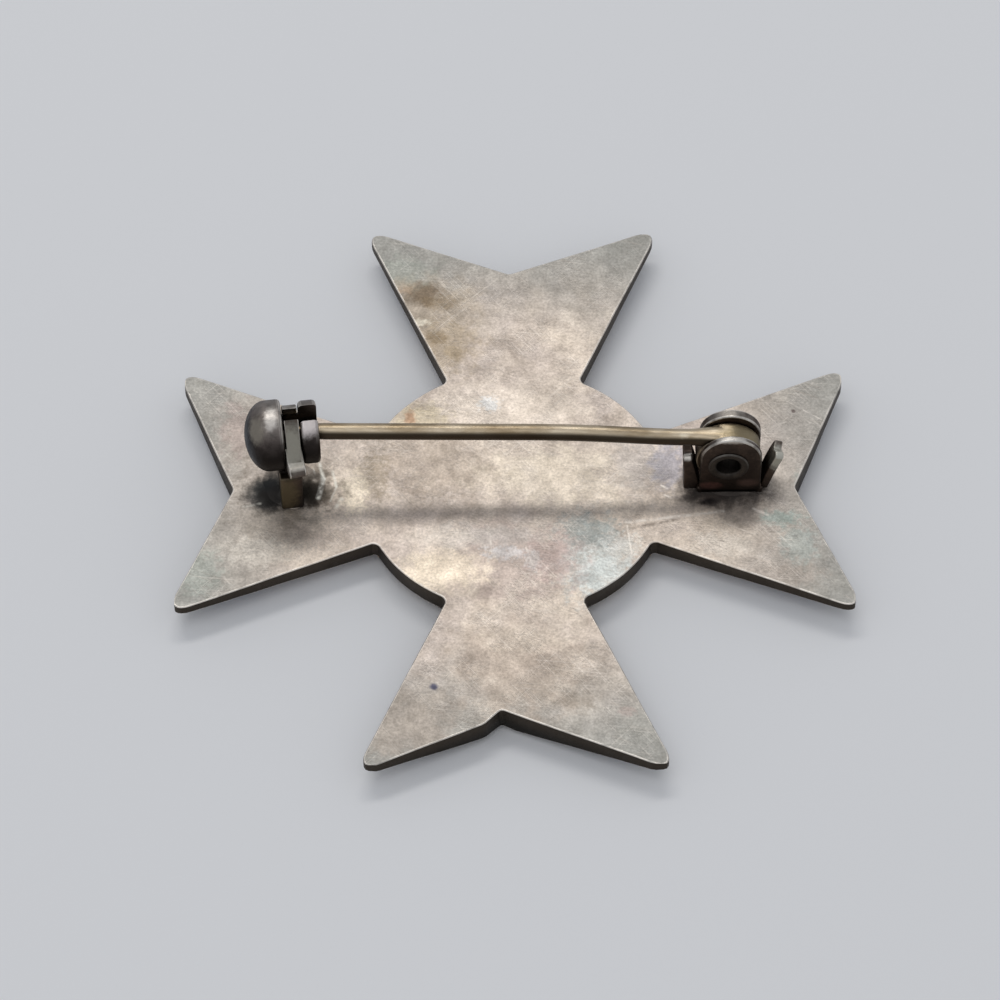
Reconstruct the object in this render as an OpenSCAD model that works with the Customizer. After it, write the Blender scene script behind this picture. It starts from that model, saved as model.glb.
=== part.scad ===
// Eight-pointed cross brooch, lying face down with its pin and safety catch on top.
// +X points to the hinge side, +Y to the top of the cross, +Z from the front face to the back.
// The origin is the centre of the cross on the plane of the front bezel, on which it rests.

/* [Cross] */
// Centre to the sharp corner of an arm, along the arm
tip_reach = 25; // [18:0.5:35]
// Half the distance between the two sharp corners of an arm
tip_half = 11.3; // [8:0.1:16]
// Centre to the bottom of the notch between the two points of an arm
notch_reach = 20.4; // [14:0.1:30]
// Centre to where an arm leaves the round middle, along the arm
waist_reach = 9.95; // [7:0.05:14]
// Half the width of an arm where it leaves the round middle
waist_half = 4.85; // [3:0.05:8]
// Radius of the round middle of the cross
disc_r = 11.07; // [8:0.01:15]
// Rounding of the eight points
tip_round = 0.85; // [0.3:0.05:1.5]

/* [Thickness] */
// Front bezel to the flat back of the cross
back_z = 2.4; // [2:0.1:5]
// Thickness of an arm along its middle line
ridge_t = 2.05; // [1.5:0.05:4]
// Thickness that an arm loses for each millimetre away from its middle line
fall = 0.125; // [0.05:0.005:0.15]
// Thickness of the round middle where it shows between the arms
disc_t = 1.45; // [1:0.05:3]

/* [Front enamel] */
// Width of the metal rim round the enamel of an arm
rim_w = 1.1; // [0.8:0.1:2]
// Depth of the cells that hold the enamel
cell_d = 0.45; // [0.3:0.05:0.6]
// Outer radius of the round bezel in the middle of the front
bezel_r = 8.2; // [6:0.1:9]
// Width of the bezel's rim
bezel_w = 1.1; // [0.8:0.1:2]
// Gap between an enamel field and its cell
seat = 0.03; // [0.01:0.01:0.1]

/* [Hinge] */
// Rivet axis from the centre of the cross
hinge_x = 15.45; // [12:0.05:18]
// Rivet axis above the back of the cross
hinge_h = 3.05; // [2.5:0.05:5]
// Outside of the front ear, towards the viewer
hinge_front = -0.5; // [-2:0.05:0]
// Middle of the bracket beyond the rivet axis, away from the centre of the cross
bracket_shift = 0.18; // [0:0.02:0.3]
// Width of the ears
ear_w = 4.42; // [3:0.02:7]
// Middle of the round top of the ears above the rivet axis
arch_h = 0.72; // [0.4:0.02:1]
// Thickness of the front ear
ear_t = 0.5; // [0.4:0.05:1]
// Thickness of the back ear
back_ear_t = 0.7; // [0.4:0.05:1]
// Length of the side lug on the pin's side
left_lug_h = 3.5; // [2:0.1:4]
// Lean of the side lug on the pin's side, away from the ears
left_lug_lean = 10; // [5:1:15]
// Length of the side lug on the far side
right_lug_h = 3.9; // [2:0.1:4]
// Lean of the side lug on the far side, away from the ears
right_lug_lean = 15; // [5:1:15]

/* [Rivet] */
// Radius of the rivet's shank
rivet_r = 1.1; // [0.9:0.05:1.4]
// Radius of the rolled rim at each end of the rivet
rivet_head_r = 1.47; // [1.3:0.01:1.9]
// Radius of the hole through the hollow rivet
rivet_bore_r = 0.86; // [0.5:0.01:1]

/* [Pin] */
// Diameter of the pin wire
wire_d = 1.2; // [0.8:0.05:1.5]
// Radius of the pin's knuckle
knuckle_r = 2.35; // [2:0.05:3]
// Width of the pin's knuckle
knuckle_w = 1.6; // [1.2:0.05:2]
// Clearance between moving metal parts
run_gap = 0.06; // [0.03:0.01:0.1]

/* [Catch] */
// Middle of the slotted disc from the centre of the cross, towards the catch side
catch_x = -14.7; // [-18:0.05:-12]
// Rotor axis above the back of the cross
catch_h = 5.62; // [4.5:0.02:7]
// Turn of the whole catch on the plate, seen from above
catch_yaw = 7; // [0:0.5:8]
// Radius of the domed knob
knob_r = 2.56; // [2.2:0.02:3.2]
// Radius of the slotted disc
flange_r = 2.28; // [2:0.02:2.6]
// Thickness of the slotted disc
flange_t = 1.3; // [0.8:0.05:2]
// Radius of the rotor's hub
hub_r = 1.45; // [1.2:0.05:2]
// Thickness of the C plate in which the hub turns
c_plate_t = 1.05; // [0.8:0.05:1.5]
// Outer radius of the C plate in front, towards the viewer
c_plate_r = 2.75; // [2.4:0.05:3.5]
// Outer radius of the C plate behind
c_back_r = 2.05; // [1.9:0.05:2.4]
// Width of the slot in the rotor, and of the mouth of the C plate
slot_w = 1.42; // [1.2:0.02:1.6]

/* [Hidden] */
$fn = 96;

silver = [0.69, 0.65, 0.61];
brass = [0.72, 0.62, 0.42];
steel_grey = [0.45, 0.41, 0.39];
blue = [0.08, 0.14, 0.34];
ivory = [0.88, 0.85, 0.76];

wire_r = wire_d / 2;
// Middle plane of the pin, between the two ears
pin_y = hinge_front + ear_t + run_gap + knuckle_w / 2;
hinge_depth = ear_t + knuckle_w + 2 * run_gap + back_ear_t;
knuckle_bore_r = rivet_r + run_gap;

// Notch of each arm, counted anticlockwise from the hinge side: [turn, points of the notch],
// each point [distance along the arm, distance to the left of its middle line]
ARMS = [
    [0, [[notch_reach, 0]]],
    [90, [[notch_reach, 0.25]]],
    [180, [[notch_reach, 0]]],
    [270, [[notch_reach + 0.4, -2.2], [notch_reach - 0.8, -1.0]]]
];

// The pin wire from above the rivet to the catch:
// [straight length, bend radius, bend upwards in degrees]
WIRE_STEPS = [
    [2.95, 25, 5],
    [2.9, 90, -4.1],
    [14.6, 0, 0]
];
// The tapered end of the pin, inside the catch
tip_len = 2.8;
tip_r = 0.42;

function unit(v) = v / norm(v);

// The corner b between a and c, rounded with radius r in n steps
function corner(a, b, c, r, n = 5) =
    let (
        u = unit(a - b),
        v = unit(c - b),
        half = acos(u * v) / 2,
        m = b + unit(u + v) * r / sin(half),
        p = b + u * r / tan(half),
        start = atan2(p.y - m.y, p.x - m.x),
        way = cross(u, v) > 0 ? -1 : 1
    )
    [for (i = [0:n]) m + r * [cos(start + way * (180 - 2 * half) * i / n),
                              sin(start + way * (180 - 2 * half) * i / n)]];

// A closed outline whose points are [x, y, corner radius]
function rounded(pts) =
    let (k = len(pts), at = function (i) [pts[i % k].x, pts[i % k].y])
    [for (i = [0:k - 1]) each pts[i].z > 0
        ? corner(at(i + k - 1), at(i), at(i + 1), pts[i].z)
        : [at(i)]];

// Where the lines a-b and c-d meet, both moved to their left by w
function inset_corner(a, b, c, d, w) =
    let (
        u = unit(b - a),
        v = unit(d - c),
        p = a + w * [-u.y, u.x],
        q = c + w * [-v.y, v.x],
        t = cross(q - p, v) / cross(u, v)
    )
    p + t * u;

// Outline of an arm that points along +X, with its root inside the round middle
module arm_outline(notch) {
    polygon(rounded(concat(
        [[0, -waist_half, 0], [waist_reach, -waist_half, 0], [tip_reach, -tip_half, tip_round]],
        [for (p = notch) [p.x, p.y, 0.5]],
        [[tip_reach, tip_half, tip_round], [waist_reach, waist_half, 0], [0, waist_half, 0]]
    )));
}

// Outline of the enamel of an arm: the arm less its rim
module field_outline(notch) {
    low = [waist_reach, -waist_half];
    high = [waist_reach, waist_half];
    low_tip = [tip_reach, -tip_half];
    high_tip = [tip_reach, tip_half];
    first = notch[0];
    last = notch[len(notch) - 1];
    p1 = inset_corner(low, low_tip, low_tip, first, rim_w);
    p2 = inset_corner(low_tip, first, last, high_tip, rim_w);
    p3 = inset_corner(last, high_tip, high_tip, high, rim_w);
    root = bezel_r - 0.5;
    slope = (tip_half - waist_half) / (tip_reach - waist_reach);
    root_half = waist_half - rim_w * 1.1 + slope * (root - waist_reach);
    polygon(rounded([
        [root, -root_half, 0], [p1.x, p1.y, 0.35], [p2.x, p2.y, 0.35],
        [p3.x, p3.y, 0.35], [root, root_half, 0]
    ]));
}

// A ridged roof along +X: all that lies behind the front planes of an arm, moved back by depth
module behind_front(depth, top = back_z) {
    wide = 13;
    rotate([90, 0, 90])
        linear_extrude(tip_reach + 2)
            polygon([
                [-wide, top],
                [-wide, back_z - ridge_t + fall * wide + depth],
                [0, back_z - ridge_t + depth],
                [wide, back_z - ridge_t + fall * wide + depth],
                [wide, top]
            ]);
}

// The cell of an arm's enamel, made smaller on every side by play
module enamel_field(row, play) {
    rotate([0, 0, row[0]])
        difference() {
            intersection() {
                linear_extrude(back_z)
                    offset_field(row[1], play);
                behind_front(play > 0 ? 0.04 : -1);
            }
            behind_front(cell_d - play, back_z + 1);
            translate([0, 0, -1])
                cylinder(r = bezel_r + 0.55 + play, h = back_z + 2);
        }
}

// The field's outline, drawn a little smaller about its own middle when play is above zero
module offset_field(notch, play) {
    middle = (waist_reach + tip_reach) / 2;
    shrink = 1 - 2 * play / (tip_reach - waist_reach) * 1.2;
    translate([middle, 0])
        scale([shrink, shrink])
            translate([-middle, 0])
                field_outline(notch);
}

module arm(row) {
    rotate([0, 0, row[0]])
        intersection() {
            linear_extrude(back_z)
                arm_outline(row[1]);
            behind_front(0);
        }
}

module cross_body() {
    difference() {
        union() {
            for (row = ARMS)
                arm(row);
            translate([0, 0, back_z - disc_t])
                cylinder(r = disc_r, h = disc_t);
            cylinder(r = bezel_r, h = back_z);
        }
        for (row = ARMS)
            enamel_field(row, 0);
        translate([0, 0, -1])
            cylinder(r = bezel_r - bezel_w, h = 1 + 2 * cell_d);
    }
}

// An ear of the hinge, standing across Y with its outside at y and thickness t
module ear(y, t) {
    arch = hinge_h + arch_h;
    translate([hinge_x, y + t, back_z])
        rotate([90, 0, 0])
            linear_extrude(t)
                difference() {
                    translate([bracket_shift, 0]) {
                        translate([-ear_w / 2, -0.05])
                            square([ear_w, arch + 0.05]);
                        translate([0, arch])
                            circle(r = ear_w / 2);
                    }
                    translate([0, hinge_h])
                        circle(r = rivet_r + 0.02);
                }
}

// A side lug, bent up from the base of the hinge and leaning away from the pin
module side_lug(side, height, lean) {
    lug_w = 1.7;
    lug_t = 0.65;
    translate([hinge_x + bracket_shift + side * (ear_w / 2 - 0.1), hinge_front + 0.4, back_z])
        rotate([0, side * lean, 0])
            translate([side > 0 ? 0 : -lug_t, 0, -0.1])
                cube([lug_t, lug_w, height + 0.1]);
}

module hinge_bracket() {
    base_t = 0.5;
    ear(hinge_front, ear_t);
    ear(hinge_front + hinge_depth - back_ear_t, back_ear_t);
    translate([hinge_x + bracket_shift - ear_w / 2 - 0.2, hinge_front, back_z - 0.1])
        cube([ear_w + 0.4, hinge_depth, base_t + 0.1]);
    side_lug(-1, left_lug_h, left_lug_lean);
    side_lug(1, right_lug_h, right_lug_lean);
}

// The catch's own frame: its X runs along the rotor axis, and its Z starts on the back of the cross
module at_catch() {
    translate([catch_x, pin_y, back_z])
        rotate([0, 0, catch_yaw])
            children();
}

// Places along the rotor axis, counted from the middle of the slotted disc
flange_x = -flange_t / 2;
hub_len = c_plate_t + 0.2;
c_plate_x = flange_x - 0.1 - c_plate_t;
knob_x = flange_x - hub_len;

// Profile of the C plate, in Y and Z about the rotor axis: thick in front, thin behind
module c_profile() {
    lip = [-slot_w / 2 - 0.02, 2.45];
    brow = [-c_plate_r, 0.13];
    column = 1.9;
    front_drop = sqrt(c_plate_r ^ 2 - column ^ 2) + 0.01;
    back_drop = sqrt(c_back_r ^ 2 - column ^ 2) + 0.01;
    difference() {
        union() {
            difference() {
                circle(r = c_plate_r);
                polygon([lip, brow, [-4, brow.y], [-4, 4], [lip.x, 4]]);
                translate([0, -front_drop])
                    square([4, 8]);
            }
            circle(r = c_back_r);
            translate([-column, -catch_h])
                square([2 * column, catch_h - front_drop]);
            translate([0, -catch_h])
                square([column, catch_h - back_drop]);
        }
        circle(r = hub_r + run_gap);
        translate([-slot_w / 2 - 0.02, 0])
            square([slot_w + 0.04, 4]);
    }
}

// The small turned-out toe at the front of the C plate
module c_toe() {
    toe_t = 1.2;
    rotate([0, 0, 7])
        rotate([90, 0, 90])
            linear_extrude(toe_t) {
                polygon([[-2.3, 0.3], [-2.75, 0.13], [-3.29, -0.02], [-3.16, -0.98], [-2.3, -1.3]]);
                translate([-3.16, -0.49])
                    circle(r = 0.49);
            }
}

module catch_base() {
    foot_t = 1.6;
    at_catch() {
        translate([c_plate_x + 0.45, 0, -0.05])
            cylinder(r = 2.35, h = 0.35);
        translate([c_plate_x - 0.5, 0, 0])
            difference() {
                translate([0, -2.45, -0.05])
                    cube([foot_t, 4.9, 3.5]);
                translate([-1, 0, catch_h])
                    rotate([0, 90, 0])
                        cylinder(r = knob_r + 0.3, h = foot_t + 2);
            }
        translate([c_plate_x, 0, catch_h]) {
            rotate([90, 0, 90])
                linear_extrude(c_plate_t)
                    c_profile();
            translate([-0.3, 0, 0])
                c_toe();
        }
    }
}

module cross_plate() {
    color(silver)
        union() {
            cross_body();
            hinge_bracket();
            catch_base();
        }
}

module enamel_arm(row) {
    color(blue)
        enamel_field(row, seat);
}

module enamel_centre() {
    crown_r = 60;
    color(ivory)
        intersection() {
            cylinder(r = bezel_r - bezel_w - seat, h = 2 * cell_d - seat);
            translate([0, 0, crown_r + 0.12])
                sphere(r = crown_r, $fn = 200);
        }
}

module hinge_rivet() {
    rim = 0.15;
    color(steel_grey)
        translate([hinge_x, hinge_front, back_z + hinge_h])
            rotate([-90, 0, 0])
                difference() {
                    union() {
                        cylinder(r = rivet_r, h = hinge_depth);
                        translate([0, 0, -rim])
                            cylinder(r = rivet_head_r, h = rim);
                        translate([0, 0, hinge_depth])
                            cylinder(r = rivet_head_r, h = rim);
                    }
                    translate([0, 0, -1])
                        cylinder(r = rivet_bore_r, h = hinge_depth + 2);
                }
}

// A bend in the XZ plane that starts at the origin along +X, with its pieces placed after it;
// it is a hair thicker than the straights that run into it
module bend(radius, turn) {
    up = turn > 0;
    size = abs(turn);
    side = up ? 1 : -1;
    translate([0, 0, side * radius])
        rotate([90, 0, 0])
            rotate([0, 0, up ? -90 : 90 - size])
                rotate_extrude(angle = size, $fn = 1440)
                    translate([radius, 0])
                        circle(r = wire_r + 0.005, $fn = 96);
    translate([radius * sin(size), 0, side * radius * (1 - cos(size))])
        rotate([0, -turn, 0])
            children();
}

// The wire from step i on, starting at the origin along +X
module wire(i = 0) {
    into = i > 0 ? 0.08 : 0;
    out = WIRE_STEPS[i][2] != 0 ? 0.08 : 0;
    step = WIRE_STEPS[i];
    rotate([0, 90, 0])
        translate([0, 0, -into])
            cylinder(r = wire_r, h = into + step[0] + out);
    translate([step[0], 0, 0])
        if (step[2] != 0)
            bend(step[1], step[2])
                wire(i + 1);
        else
            rotate([0, 90, 0])
                cylinder(r1 = wire_r, r2 = tip_r, h = tip_len);
}

// Where the flat sides of the knuckle narrow to the round wire
module shoulder() {
    half_w = knuckle_w / 2 - 0.02;
    translate([0, 0, -0.42])
        linear_extrude(0.84)
            polygon([
                [0.5, -half_w], [1.1, -half_w], [2.9, -0.4],
                [2.9, 0.4], [1.1, half_w], [0.5, half_w]
            ]);
}

module pin_stem() {
    color(brass)
        translate([hinge_x, pin_y, back_z + hinge_h])
            difference() {
                union() {
                    rotate([-90, 0, 0])
                        translate([0, 0, -knuckle_w / 2])
                            cylinder(r = knuckle_r, h = knuckle_w);
                    translate([0, 0, knuckle_r - wire_r - 0.05])
                        rotate([0, 0, 180]) {
                            wire();
                            shoulder();
                        }
                }
                rotate([-90, 0, 0])
                    translate([0, 0, -knuckle_w])
                        cylinder(r = knuckle_bore_r, h = 2 * knuckle_w);
            }
}

module catch_rotor() {
    cap_d = 1.65;
    band = 1.1;
    bore_r = slot_w / 2;
    color(steel_grey)
        at_catch()
            translate([0, 0, catch_h])
                difference() {
                    union() {
                        rotate([0, 90, 0])
                            translate([0, 0, knob_x - 0.01])
                                cylinder(r = hub_r, h = hub_len + 0.02);
                        rotate([0, 90, 0])
                            translate([0, 0, flange_x])
                                rotate_extrude()
                                    polygon([
                                        [0, 0], [flange_r - 0.3, 0],
                                        [flange_r - 0.08, 0.12], [flange_r, 0.35],
                                        [flange_r, flange_t - 0.35], [flange_r - 0.08, flange_t - 0.12],
                                        [flange_r - 0.3, flange_t], [0, flange_t]
                                    ]);
                        translate([knob_x, 0, 0])
                            rotate([0, -90, 0])
                                rotate_extrude()
                                    polygon(concat(
                                        [[0, 0], [knob_r, 0]],
                                        [for (a = [0:6:90]) [knob_r * cos(a), band + cap_d * sin(a)]]
                                    ));
                    }
                    translate([knob_x, 0, 0])
                        rotate([0, 90, 0])
                            cylinder(r = bore_r, h = 4);
                    translate([knob_x, -bore_r, 0])
                        cube([4, slot_w, 4]);
                }
}

cross_plate();
enamel_arm(ARMS[0]);  // enamel_right
enamel_arm(ARMS[1]);  // enamel_top
enamel_arm(ARMS[2]);  // enamel_left
enamel_arm(ARMS[3]);  // enamel_bottom
enamel_centre();
hinge_rivet();
pin_stem();
catch_rotor();
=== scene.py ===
import math

import bmesh
import bpy
from mathutils import Matrix, Vector, noise


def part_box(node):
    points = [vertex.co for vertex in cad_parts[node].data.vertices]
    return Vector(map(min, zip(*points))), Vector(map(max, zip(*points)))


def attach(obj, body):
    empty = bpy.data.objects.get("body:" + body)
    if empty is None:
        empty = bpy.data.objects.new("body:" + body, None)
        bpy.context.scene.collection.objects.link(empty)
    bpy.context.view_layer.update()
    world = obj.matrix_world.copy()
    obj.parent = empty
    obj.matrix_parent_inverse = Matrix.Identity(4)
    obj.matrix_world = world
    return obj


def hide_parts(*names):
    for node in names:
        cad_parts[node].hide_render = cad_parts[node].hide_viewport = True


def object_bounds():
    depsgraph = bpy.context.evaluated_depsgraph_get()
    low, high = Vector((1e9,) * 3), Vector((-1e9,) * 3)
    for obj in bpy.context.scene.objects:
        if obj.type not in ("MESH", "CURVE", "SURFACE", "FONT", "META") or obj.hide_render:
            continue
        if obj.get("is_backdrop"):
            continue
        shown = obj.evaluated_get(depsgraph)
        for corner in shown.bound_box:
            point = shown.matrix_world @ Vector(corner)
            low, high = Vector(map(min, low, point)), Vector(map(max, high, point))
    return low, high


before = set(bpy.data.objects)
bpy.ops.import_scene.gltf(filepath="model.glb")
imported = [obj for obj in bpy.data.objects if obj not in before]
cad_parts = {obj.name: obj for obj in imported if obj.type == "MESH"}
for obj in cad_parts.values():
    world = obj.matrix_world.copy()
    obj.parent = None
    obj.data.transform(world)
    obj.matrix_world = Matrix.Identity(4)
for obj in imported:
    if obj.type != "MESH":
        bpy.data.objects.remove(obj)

cad_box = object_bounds()

# The view
# The camera looks down at the back of the brooch from the front, at the photograph's angle and
# distance. Every piece is modelled in millimetres, and brought to metres when it is finished.
MM = 0.001
BACK_Z = 2.4
LENS = 161.07
SENSOR = 36.0
CAMERA_AT = (-1.184, -198.993, 256.857 + BACK_Z)
CAMERA_RIGHT = (0.999985, -0.004636, -0.002940)
CAMERA_UP = (0.005467, 0.792140, 0.610312)

camera_right = Vector(CAMERA_RIGHT)
camera_up = Vector(CAMERA_UP)
camera_back = camera_right.cross(camera_up).normalized()
camera_up = camera_back.cross(camera_right).normalized()
camera_data = bpy.data.cameras.new("camera")
camera_data.lens = LENS
camera_data.sensor_width = SENSOR
camera_data.clip_start = 0.01
camera_data.clip_end = 10
camera = bpy.data.objects.new("camera", camera_data)
camera_turn = Matrix((camera_right, camera_up, camera_back)).transposed()
camera.matrix_world = Matrix.Translation(Vector(CAMERA_AT) * MM) @ camera_turn.to_4x4()
bpy.context.scene.collection.objects.link(camera)
bpy.context.scene.camera = camera


# The floor and the light
# A plain pale floor under the brooch, a low window behind it that draws the pin's shadow on the
# back, and broad weak lights above and in front.
FLOOR_SIZE = 3000
FLOOR_Z = -0.02
FLOOR_PALE = (0.80, 0.80, 0.81, 1)
ROOM_PALE = (0.84, 0.87, 0.92, 1)
ROOM_LIGHT = 0.56


def added(name):
    """Names the object that was just added, and takes its place into its mesh."""
    piece = bpy.context.object
    piece.name = name
    piece.data.name = name
    bpy.ops.object.transform_apply(location=True, rotation=True, scale=True)
    return piece


def deselect():
    """Leaves nothing selected."""
    bpy.ops.object.select_all(action="DESELECT")


def only(piece):
    """Makes this the one selected object."""
    deselect()
    piece.select_set(True)
    bpy.context.view_layer.objects.active = piece


def to_metres(piece):
    """Brings a piece that was modelled in millimetres to metres."""
    only(piece)
    piece.scale = (MM, MM, MM)
    bpy.ops.object.transform_apply(location=False, rotation=False, scale=True)


def soft_light(name, place, size, power, colour):
    """A rectangular soft light at place, in millimetres, turned to the middle of the brooch."""
    lamp_data = bpy.data.lights.new(name, "AREA")
    lamp_data.shape = "RECTANGLE"
    lamp_data.size = size[0] * MM
    lamp_data.size_y = size[1] * MM
    lamp_data.energy = power
    lamp_data.color = colour
    lamp = bpy.data.objects.new(name, lamp_data)
    place = Vector(place) * MM
    turn = (-place).to_track_quat("-Z", "Y").to_matrix().to_4x4()
    lamp.matrix_world = Matrix.Translation(place) @ turn
    bpy.context.scene.collection.objects.link(lamp)


deselect()
bpy.ops.mesh.primitive_grid_add(
    x_subdivisions=8, y_subdivisions=8, size=FLOOR_SIZE, location=(0, 0, FLOOR_Z))
floor = added("floor")
to_metres(floor)
floor_paint = bpy.data.materials.new("floor_paint")
floor_paint.use_nodes = True
floor_shader = floor_paint.node_tree.nodes["Principled BSDF"]
floor_shader.inputs["Base Color"].default_value = FLOOR_PALE
floor_shader.inputs["Roughness"].default_value = 0.85
floor.data.materials.append(floor_paint)
floor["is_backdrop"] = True

soft_light("window_light", (-60, 335, 600), (460, 110), 0.87, (1.0, 0.985, 0.955))
soft_light("ceiling_light", (-150, -260, 760), (700, 500), 0.78, (0.97, 0.985, 1.0))

world = bpy.data.worlds.new("room")
world.use_nodes = True
world.node_tree.nodes["Background"].inputs["Color"].default_value = ROOM_PALE
world.node_tree.nodes["Background"].inputs["Strength"].default_value = ROOM_LIGHT
bpy.context.scene.world = world
bpy.context.scene.view_settings.view_transform = "Standard"


# The cross
# One piece of cast silver: four forked arms on a round middle, flat behind and ridged in front,
# with cells for the enamel. Its outline is filed by hand, and its points and edges are worn round.
TIP_REACH = 25
TIP_HALF = 11.3
NOTCH_REACH = 20.4
WAIST_REACH = 9.95
WAIST_HALF = 4.85
DISC_R = 11.07
DISC_T = 1.45
TIP_ROUND = 0.85
NOTCH_EASE = 0.22
WAIST_ROUND = 0.5
WAIST_RUN_IN = 0.3
RIDGE_Z = 0.35
FALL = 0.125
RIM_W = 1.1
CELL_D = 0.45
BEZEL_R = 8.2
BEZEL_W = 1.1
CELL_ROOT_R = BEZEL_R + 0.55
BACK_EDGE = 0.12
FRONT_EDGE = 0.06
FILE_PITCH = 0.7625
FILE_SEED = 3
FILE_WAVES = ((5.0, 0.03), (1.7, 0.012))
FILE_FLAT = 0.6
STOCK = 0.8
HAIR = 0.00001
ARMS = {
    "right": (0, [(NOTCH_REACH, 0)]),
    "top": (90, [(NOTCH_REACH, 0.25)]),
    "left": (180, [(NOTCH_REACH, 0)]),
    "bottom": (270, [(NOTCH_REACH + 0.4, -2.2), (NOTCH_REACH - 0.8, -1.0)]),
}
NEAR = 0.001
SORT_FROM = (31.3, 17.9, 5.1)
# How sharply a face curves to be worn bright, and how far it faces up to get a painted highlight.
RUB_CURVE = (4, 6)
TOP_LIGHT_LIFT = (0.6, 0.36)


def pick(piece, kind, test):
    """Opens a piece in edit mode with the vertices, edges or faces that pass the test selected."""
    only(piece)
    bpy.ops.object.mode_set(mode="EDIT")
    bpy.ops.mesh.select_mode(type=kind)
    bpy.ops.mesh.select_all(action="DESELECT")
    shape = bmesh.from_edit_mesh(piece.data)
    found = {"VERT": shape.verts, "EDGE": shape.edges, "FACE": shape.faces}[kind]
    for item in found:
        if test(item):
            item.select_set(True)
    shape.select_flush_mode()
    bmesh.update_edit_mesh(piece.data)


def pick_all(piece):
    """Opens a piece in edit mode with all of it selected."""
    only(piece)
    bpy.ops.object.mode_set(mode="EDIT")
    bpy.ops.mesh.select_mode(type="VERT")
    bpy.ops.mesh.select_all(action="SELECT")


def close():
    """Leaves edit mode."""
    bpy.ops.object.mode_set(mode="OBJECT")


def turn_outwards(piece):
    """Points every face of a closed shape outwards."""
    pick_all(piece)
    bpy.ops.mesh.normals_make_consistent(inside=False)
    close()


def modify(piece, kind, **settings):
    """Adds a modifier with these settings and applies it."""
    only(piece)
    modifier = piece.modifiers.new(kind.lower(), kind)
    for setting, value in settings.items():
        setattr(modifier, setting, value)
    bpy.ops.object.modifier_apply(modifier=modifier.name)


def combine(piece, tool, operation):
    """Joins a tool shape to a piece, or cuts it out, and sorts the mesh, so that each run is the same."""
    modify(piece, "BOOLEAN", operation=operation, object=tool, solver="EXACT")
    bpy.data.objects.remove(tool)
    bpy.context.scene.cursor.location = SORT_FROM
    pick_all(piece)
    bpy.ops.mesh.sort_elements(type="CURSOR_DISTANCE", elements={"VERT", "EDGE", "FACE"})
    close()
    bpy.context.scene.cursor.location = (0, 0, 0)


def copied(piece, name):
    """A copy of a piece with a mesh of its own."""
    twin = piece.copy()
    twin.data = piece.data.copy()
    twin.name = name
    bpy.context.scene.collection.objects.link(twin)
    return twin


def cut_across(piece, places):
    """Cuts a piece across along planes, each given as a place and a normal."""
    for place, normal in places:
        pick_all(piece)
        bpy.ops.mesh.bisect(plane_co=place, plane_no=normal, threshold=HAIR)
        close()


def turned(piece, angles):
    """Turns a piece about the origin by angles about X, Y and Z, in degrees."""
    only(piece)
    piece.rotation_euler = [math.radians(a) for a in angles]
    bpy.ops.object.transform_apply(location=False, rotation=True, scale=False)
    return piece


def moved(piece, place):
    """Moves a piece by place."""
    only(piece)
    piece.location = place
    bpy.ops.object.transform_apply(location=True, rotation=False, scale=False)
    return piece


def smooth(piece, degrees=35):
    """Shades a piece smooth, with crisp corners above this angle and flat faces kept flat."""
    only(piece)
    bpy.ops.object.shade_smooth_by_angle(angle=math.radians(degrees))
    modify(piece, "WEIGHTED_NORMAL", weight=60, keep_sharp=True)


def bevel_edges(piece, test, width, segments=3):
    """Rounds the edges of a piece that pass the test."""
    pick(piece, "EDGE", test)
    bpy.ops.mesh.bevel(offset=width, segments=segments, affect="EDGES")
    close()


def extrude(shift):
    """Draws out what is selected."""
    bpy.ops.mesh.extrude_region_move(TRANSFORM_OT_translate={"value": shift})


def plate(name, outline, low, thickness):
    """A flat plate with this outline in XY, from low up."""
    deselect()
    bpy.ops.mesh.primitive_circle_add(vertices=len(outline), radius=1, fill_type="NGON")
    piece = added(name)
    for v, (x, y) in zip(piece.data.vertices, outline):
        v.co = (x, y, low)
    pick_all(piece)
    extrude((0, 0, thickness))
    close()
    turn_outwards(piece)
    return piece


def round_bar(name, radius, low, high, sides=192):
    """An upright round bar about the Z axis from low to high."""
    deselect()
    bpy.ops.mesh.primitive_cylinder_add(
        vertices=sides, radius=radius, depth=high - low, location=(0, 0, (low + high) / 2))
    return added(name)


def block(name, low, high):
    """A block between two corners."""
    low, high = Vector(low), Vector(high)
    deselect()
    bpy.ops.mesh.primitive_cube_add(size=1, location=(low + high) / 2, scale=high - low)
    return added(name)


def front_height(y):
    """Height of an arm's front face at a distance y from its ridge."""
    return RIDGE_Z + FALL * abs(y)


def fork_reach(notch, y):
    """How far the forked end of an arm reaches at a distance y from its ridge."""
    ends = [(-TIP_HALF, TIP_REACH), (TIP_HALF, TIP_REACH)]
    ends = sorted(ends + [(side, reach) for reach, side in notch])
    for (y0, x0), (y1, x1) in zip(ends, ends[1:]):
        if y0 <= y <= y1:
            return x0 + (x1 - x0) * (y - y0) / (y1 - y0)


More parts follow.
